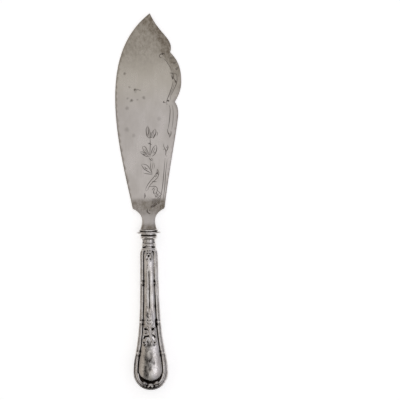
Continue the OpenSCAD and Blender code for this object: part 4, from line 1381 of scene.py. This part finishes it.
def engravedBlade():
    # Top and underside filled with triangles, joined by rings that round the edge
    loop = bladeOutline()
    b = blade
    inward = normalsOf(loop)
    neck = (loop[:, 1] > bolsterEnd - 1e-6) & (loop[:, 1] < neckAt)
    inward[neck] = np.column_stack([-np.sign(loop[neck, 0]), np.zeros(neck.sum())])
    thick = plateThickness(loop[:, 1])
    radius = np.minimum(b["edgeRadius"] * (thick / b["plateThickness"]) ** 1.4, thick / 2.1)
    radius = np.where(loop[:, 1] < bolsterEnd - 1e-6, 0.02, radius)
    angles = np.linspace(0, math.pi / 2, b["edgeSteps"])
    cuts = allCuts()
    n = len(loop)
    rings, heights = [], []
    for a in angles:
        flat = loop + inward * (radius * (1 - math.cos(a)))[:, None]
        rings.append(flat)
        heights.append(thick / 2 - radius + radius * math.sin(a))
    topXY, topFaces, topRim, sharp = fillFace(rings[-1], cuts)
    lowXY, lowFaces, lowRim, _ = fillFace(rings[-1], [])
    depth, share = cutDepth(topXY, cuts)
    topZ = plateMiddle(topXY[:, 1]) + plateThickness(topXY[:, 1]) / 2 - depth
    lowZ = np.maximum(plateMiddle(lowXY[:, 1]) - plateThickness(lowXY[:, 1]) / 2, plateFloor)
    points = [np.column_stack([topXY, topZ]), np.column_stack([lowXY, lowZ])]
    faces = topFaces + [tuple(len(topXY) + i for i in f[::-1]) for f in lowFaces]
    base = len(topXY) + len(lowXY)
    chain = [[len(topXY) + i for i in lowRim]]
    middle = plateMiddle(loop[:, 1])
    for way, order in ((-1, range(b["edgeSteps"] - 2, -1, -1)), (1, range(b["edgeSteps"] - 1))):
        for k in order:
            z = middle + way * heights[k]
            points.append(np.column_stack([rings[k], np.maximum(z, plateFloor)]))
            chain.append(list(range(base, base + n)))
            base += n
    chain.append(topRim)
    for lower, upper in zip(chain[:-1], chain[1:]):
        faces += [(lower[i], lower[(i + 1) % n], upper[(i + 1) % n], upper[i]) for i in range(n)]
    points = np.vstack(points)
    cut = np.zeros(len(points))
    cut[:len(share)] = share
    edge = np.zeros(len(points))
    edge[topRim] = edge[len(topXY) + len(lowXY):] = b["edgeVeil"]
    # the veil holds tarnish and painted shade of the bends, with a darker edge past the root
    veilAndShade = np.maximum(veilAndShadeOver(points), edge * ease((points[:, 1] - neckAt - 8) / 4))
    yellowed = ease((points[:, 1] - b["yellowedFrom"][0]) / b["yellowedFrom"][1])
    piece = makeObject("engravedBlade", points, faces, {"cut": cut, "veilAndShade": veilAndShade, "yellowed": yellowed},
                       sharpEdges=sharp)
    piece.data.materials.append(bladeSilver)
    return piece


bladePiece = engravedBlade()
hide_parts("blade")
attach(bladePiece, "root")
print("blade made")


# Bolster: cast collar, lofted by a node tree through a profile

bolster = {
    "gap": 2.0,
    "discHalfWidth": 9.7,
    "discFlatness": 0.7,
    "discLength": 1.2,
    "discToRim": 0.6,
    "rimHalfWidth": 7.7,
    "rimFlatness": 0.62,
    "rimSquareness": 3.4,
    "stubHalfWidth": 4.0,
    "stubHalfThickness": 2.7,
    "tangDepth": 9.0,
    "fitGap": 0.04,
    "around": 128,
    "sharpAngle": 32,
    # how dark the collar is along its length, as (place, share): tarnish and painted shade in the
    # gaps beside the disc
    "tarnishAndShade": [(122.5, 1.0), (124.55, 1.0), (124.59, 0.0), (125.77, 0.0), (125.81, 0.75),
                (126.32, 0.7), (126.38, 0.0), (127.6, 0.0), (128.0, 0.3)],
}


def bolsterProfile():
    # (place, half width, half thickness) from the stub's end to the rim's mouth
    b = bolster
    collarW, collarT = handle["roll"][0] - 0.45, handle["roll"][1] - 0.6
    disc = handle["length"] + b["gap"]
    discEnd = disc + b["discLength"]
    rim = discEnd + b["discToRim"]
    rest = bolsterEnd - rim
    discW, discT = b["discHalfWidth"], b["discFlatness"] * b["discHalfWidth"]
    rimW, rimT = b["rimHalfWidth"], b["rimFlatness"] * b["rimHalfWidth"]
    mouthW = blade["neckHalfWidth"] + blade["neckFlare"] + 0.15
    mouthT = blade["neckThickness"] / 2 + 0.9
    stub = [(stubAt, 0, 0)] + [(y, b["stubHalfWidth"], b["stubHalfThickness"])
                               for y in (stubAt, handle["length"])]
    rounded = [(0, 0.6), (0.1, 0.27), (0.3, 0)]
    edge = [(disc + at, discW - back, discT - back) for at, back in rounded]
    edge += [(discEnd - at, discW - back, discT - back) for at, back in rounded[::-1]]
    bead = through([(rim - 0.1, rimW - 0.9, rimT - 0.6), (rim, rimW - 0.15, rimT - 0.1),
                    (rim + 0.2 * rest, rimW, rimT), (rim + 0.6 * rest, rimW - 0.15, rimT - 0.1),
                    (rim + 0.85 * rest, rimW - 0.5, rimT - 0.65), (bolsterEnd, mouthW, mouthT)], 0.08)
    return (stub + [(handle["length"], collarW, collarT), (disc, collarW, collarT)] + edge
            + [(discEnd, rimW - 0.9, rimT - 0.6)] + [tuple(p) for p in bead] + [(bolsterEnd, 0, 0)])


def loftTree():
    # A grid wound round the handle's axis. Each row takes its size from a point of the profile.
    tree = bpy.data.node_groups.new("loftedCollar", "GeometryNodeTree")
    tree.interface.new_socket("Geometry", in_out="OUTPUT", socket_type="NodeSocketGeometry")
    for name, kind in (("Profile", "Object"), ("Around", "Int"), ("Rows", "Int"),
                       ("Squareness", "Float"), ("Rim squareness", "Float"), ("Rim place", "Float"),
                       ("Mouth place", "Float"), ("Silver", "Material")):
        tree.interface.new_socket(name, in_out="INPUT", socket_type="NodeSocket" + kind)
    given = tree.nodes.new("NodeGroupInput").outputs
    profile = addNode(tree, "GeometryNodeObjectInfo", None, "Geometry", Object=given["Profile"])
    grid = addNode(tree, "GeometryNodeMeshGrid", None, Size_X=1.0, Size_Y=1.0,
                   Vertices_X=given["Around"], Vertices_Y=given["Rows"])
    position = addNode(tree, "GeometryNodeInputPosition")
    spot = addNode(tree, "ShaderNodeSeparateXYZ", None, Vector=position)
    turn = addNode(tree, "ShaderNodeMath", {"operation": "MULTIPLY_ADD"}, _0=spot, _1=2 * math.pi,
                   _2=math.pi)
    row = addNode(tree, "ShaderNodeMath", {"operation": "FLOORED_MODULO"},
                  _0=addNode(tree, "GeometryNodeInputIndex"), _1=given["Rows"])
    point = addNode(tree, "GeometryNodeSampleIndex", {"data_type": "FLOAT_VECTOR"}, _0=profile,
                    _1=position, Index=row)
    size = addNode(tree, "ShaderNodeSeparateXYZ", None, Vector=point).node.outputs
    power = addNode(tree, "ShaderNodeMapRange", smooth, _0=size[0], _1=given["Rim place"],
                    _2=given["Mouth place"], _3=given["Squareness"], _4=given["Rim squareness"])
    root = addNode(tree, "ShaderNodeMath", {"operation": "DIVIDE"}, _0=2.0, _1=power)
    sides = []
    for wave, half in (("COSINE", size[1]), ("SINE", size[2])):
        value = addNode(tree, "ShaderNodeMath", {"operation": wave}, _0=turn)
        whole = addNode(tree, "ShaderNodeMath", {"operation": "ABSOLUTE"}, _0=value)
        bent = addNode(tree, "ShaderNodeMath", {"operation": "POWER"}, _0=whole, _1=root)
        sign = addNode(tree, "ShaderNodeMath", {"operation": "SIGN"}, _0=value)
        signed = addNode(tree, "ShaderNodeMath", times, _0=bent, _1=sign)
        sides.append(addNode(tree, "ShaderNodeMath", times, _0=signed, _1=half))
    place = addNode(tree, "ShaderNodeCombineXYZ", None, _0=sides[0], _1=size[0], _2=sides[1])
    wound = addNode(tree, "GeometryNodeSetPosition", None, Geometry=grid, Position=place)
    closed = addNode(tree, "GeometryNodeMergeByDistance", None, Geometry=wound, Distance=1e-6)
    real = addNode(tree, "GeometryNodeRealizeInstances", None, Geometry=closed)
    dressed = addNode(tree, "GeometryNodeSetMaterial", None, Geometry=real, Material=given["Silver"])
    tree.links.new(dressed, tree.nodes.new("NodeGroupOutput").inputs[0])
    return tree


def bakeNodes(name, tree, values):
    # Runs the tree with the named inputs and returns its result as a plain object
    holder = bpy.data.objects.new(name + "Holder", bpy.data.meshes.new(name + "Holder"))
    bpy.context.scene.collection.objects.link(holder)
    modifier = holder.modifiers.new("nodes", "NODES")
    modifier.node_group = tree
    for item in tree.interface.items_tree:
        if item.in_out == "INPUT" and item.name in values:
            modifier[item.identifier] = values[item.name]
    bpy.context.view_layer.update()
    evaluated = holder.evaluated_get(bpy.context.evaluated_depsgraph_get())
    mesh = bpy.data.meshes.new_from_object(evaluated)
    bpy.data.objects.remove(holder)
    piece = bpy.data.objects.new(name, mesh)
    bpy.context.scene.collection.objects.link(piece)
    return piece


def profileCurve(points):
    # The profile as a curve: x is the place, y the half width, z the half thickness, in metres
    curve = bpy.data.curves.new("collarProfile", "CURVE")
    curve.dimensions = "3D"
    spline = curve.splines.new("POLY")
    spline.points.add(len(points) - 1)
    for point, (place, wide, thick) in zip(spline.points, points):
        point.co = (place * mm, wide * mm, thick * mm, 1)
    holder = bpy.data.objects.new("collarProfile", curve)
    bpy.context.scene.collection.objects.link(holder)
    return holder


def cutAway(piece, low, high, radius=None):
    # Takes a box, or a round bore along Y, out of the piece. Corners are in the handle's axes
    a, b = inFrame(low), inFrame(high)
    cutter = bmesh.new()
    if radius:
        bmesh.ops.create_cone(cutter, cap_ends=True, segments=48, radius1=radius * mm,
                              radius2=radius * mm, depth=b[1] - a[1])
        bmesh.ops.rotate(cutter, verts=cutter.verts, cent=(0, 0, 0),
                         matrix=Matrix.Rotation(math.pi / 2, 3, "X"))
    else:
        bmesh.ops.create_cube(cutter, size=1)
        bmesh.ops.scale(cutter, verts=cutter.verts, vec=b - a)
    bmesh.ops.translate(cutter, verts=cutter.verts, vec=(a + b) / 2)
    mesh = bpy.data.meshes.new("cutter")
    cutter.to_mesh(mesh)
    cutter.free()
    tool = bpy.data.objects.new("cutter", mesh)
    bpy.context.scene.collection.objects.link(tool)
    modifier = piece.modifiers.new("cut", "BOOLEAN")
    modifier.object = tool
    modifier.solver = "EXACT"
    bpy.context.view_layer.update()
    evaluated = piece.evaluated_get(bpy.context.evaluated_depsgraph_get())
    result = bpy.data.meshes.new_from_object(evaluated)
    piece.modifiers.clear()
    piece.data = result
    bpy.data.objects.remove(tool)


def castCollar():
    profile = bolsterProfile()
    line = profileCurve(profile)
    rimAt = handle["length"] + bolster["gap"] + bolster["discLength"] + bolster["discToRim"]
    piece = bakeNodes("castCollar", loftTree(), {
        "Profile": line, "Around": bolster["around"] + 1, "Rows": len(profile),
        "Squareness": handle["sectionPower"], "Rim squareness": bolster["rimSquareness"],
        "Rim place": rimAt * mm, "Mouth place": bolsterEnd * mm, "Silver": handleSilver})
    bpy.data.objects.remove(line)
    piece.data.transform(Matrix.Translation((axisX, buttY, seamZ)))
    places = np.zeros(3 * len(piece.data.vertices), np.float32)
    piece.data.vertices.foreach_get("co", places)
    y = (places[1::3] - buttY) / mm
    # tarnish and painted shade in the collar's gaps
    hollow = np.interp(y, *zip(*bolster["tarnishAndShade"]))
    layer = piece.data.attributes.new("hollow", "FLOAT", "POINT")
    layer.data.foreach_set("value", hollow.astype(np.float32))
    gap = bolster["fitGap"]
    wide, thick = blade["tongueHalfWidth"] + gap, blade["tongueThickness"] / 2 + gap
    slotFloor = bolsterEnd - blade["tongueLength"] - gap
    cutAway(piece, (-wide, slotFloor, -thick), (wide, bolsterEnd + 1, thick))
    tangRadius = (tangHigh[0] - tangLow[0]) / 2 / mm
    cutAway(piece, (0, stubAt - 1, 0), (0, stubAt + bolster["tangDepth"] + gap, 0), tangRadius + gap)
    piece.data.shade_smooth()
    piece.data.set_sharp_from_angle(angle=math.radians(bolster["sharpAngle"]))
    return piece


collar = castCollar()
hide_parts("bolster")
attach(collar, "root")
print("bolster made")


# Tang and cement keep their CAD shapes

for name, material in (("tang", drawnSteel()), ("handle_filler", resinCement())):
    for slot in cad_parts[name].material_slots:
        slot.material = material
print("tang and cement dressed")

bpy.context.scene.view_settings.view_transform = "Standard"
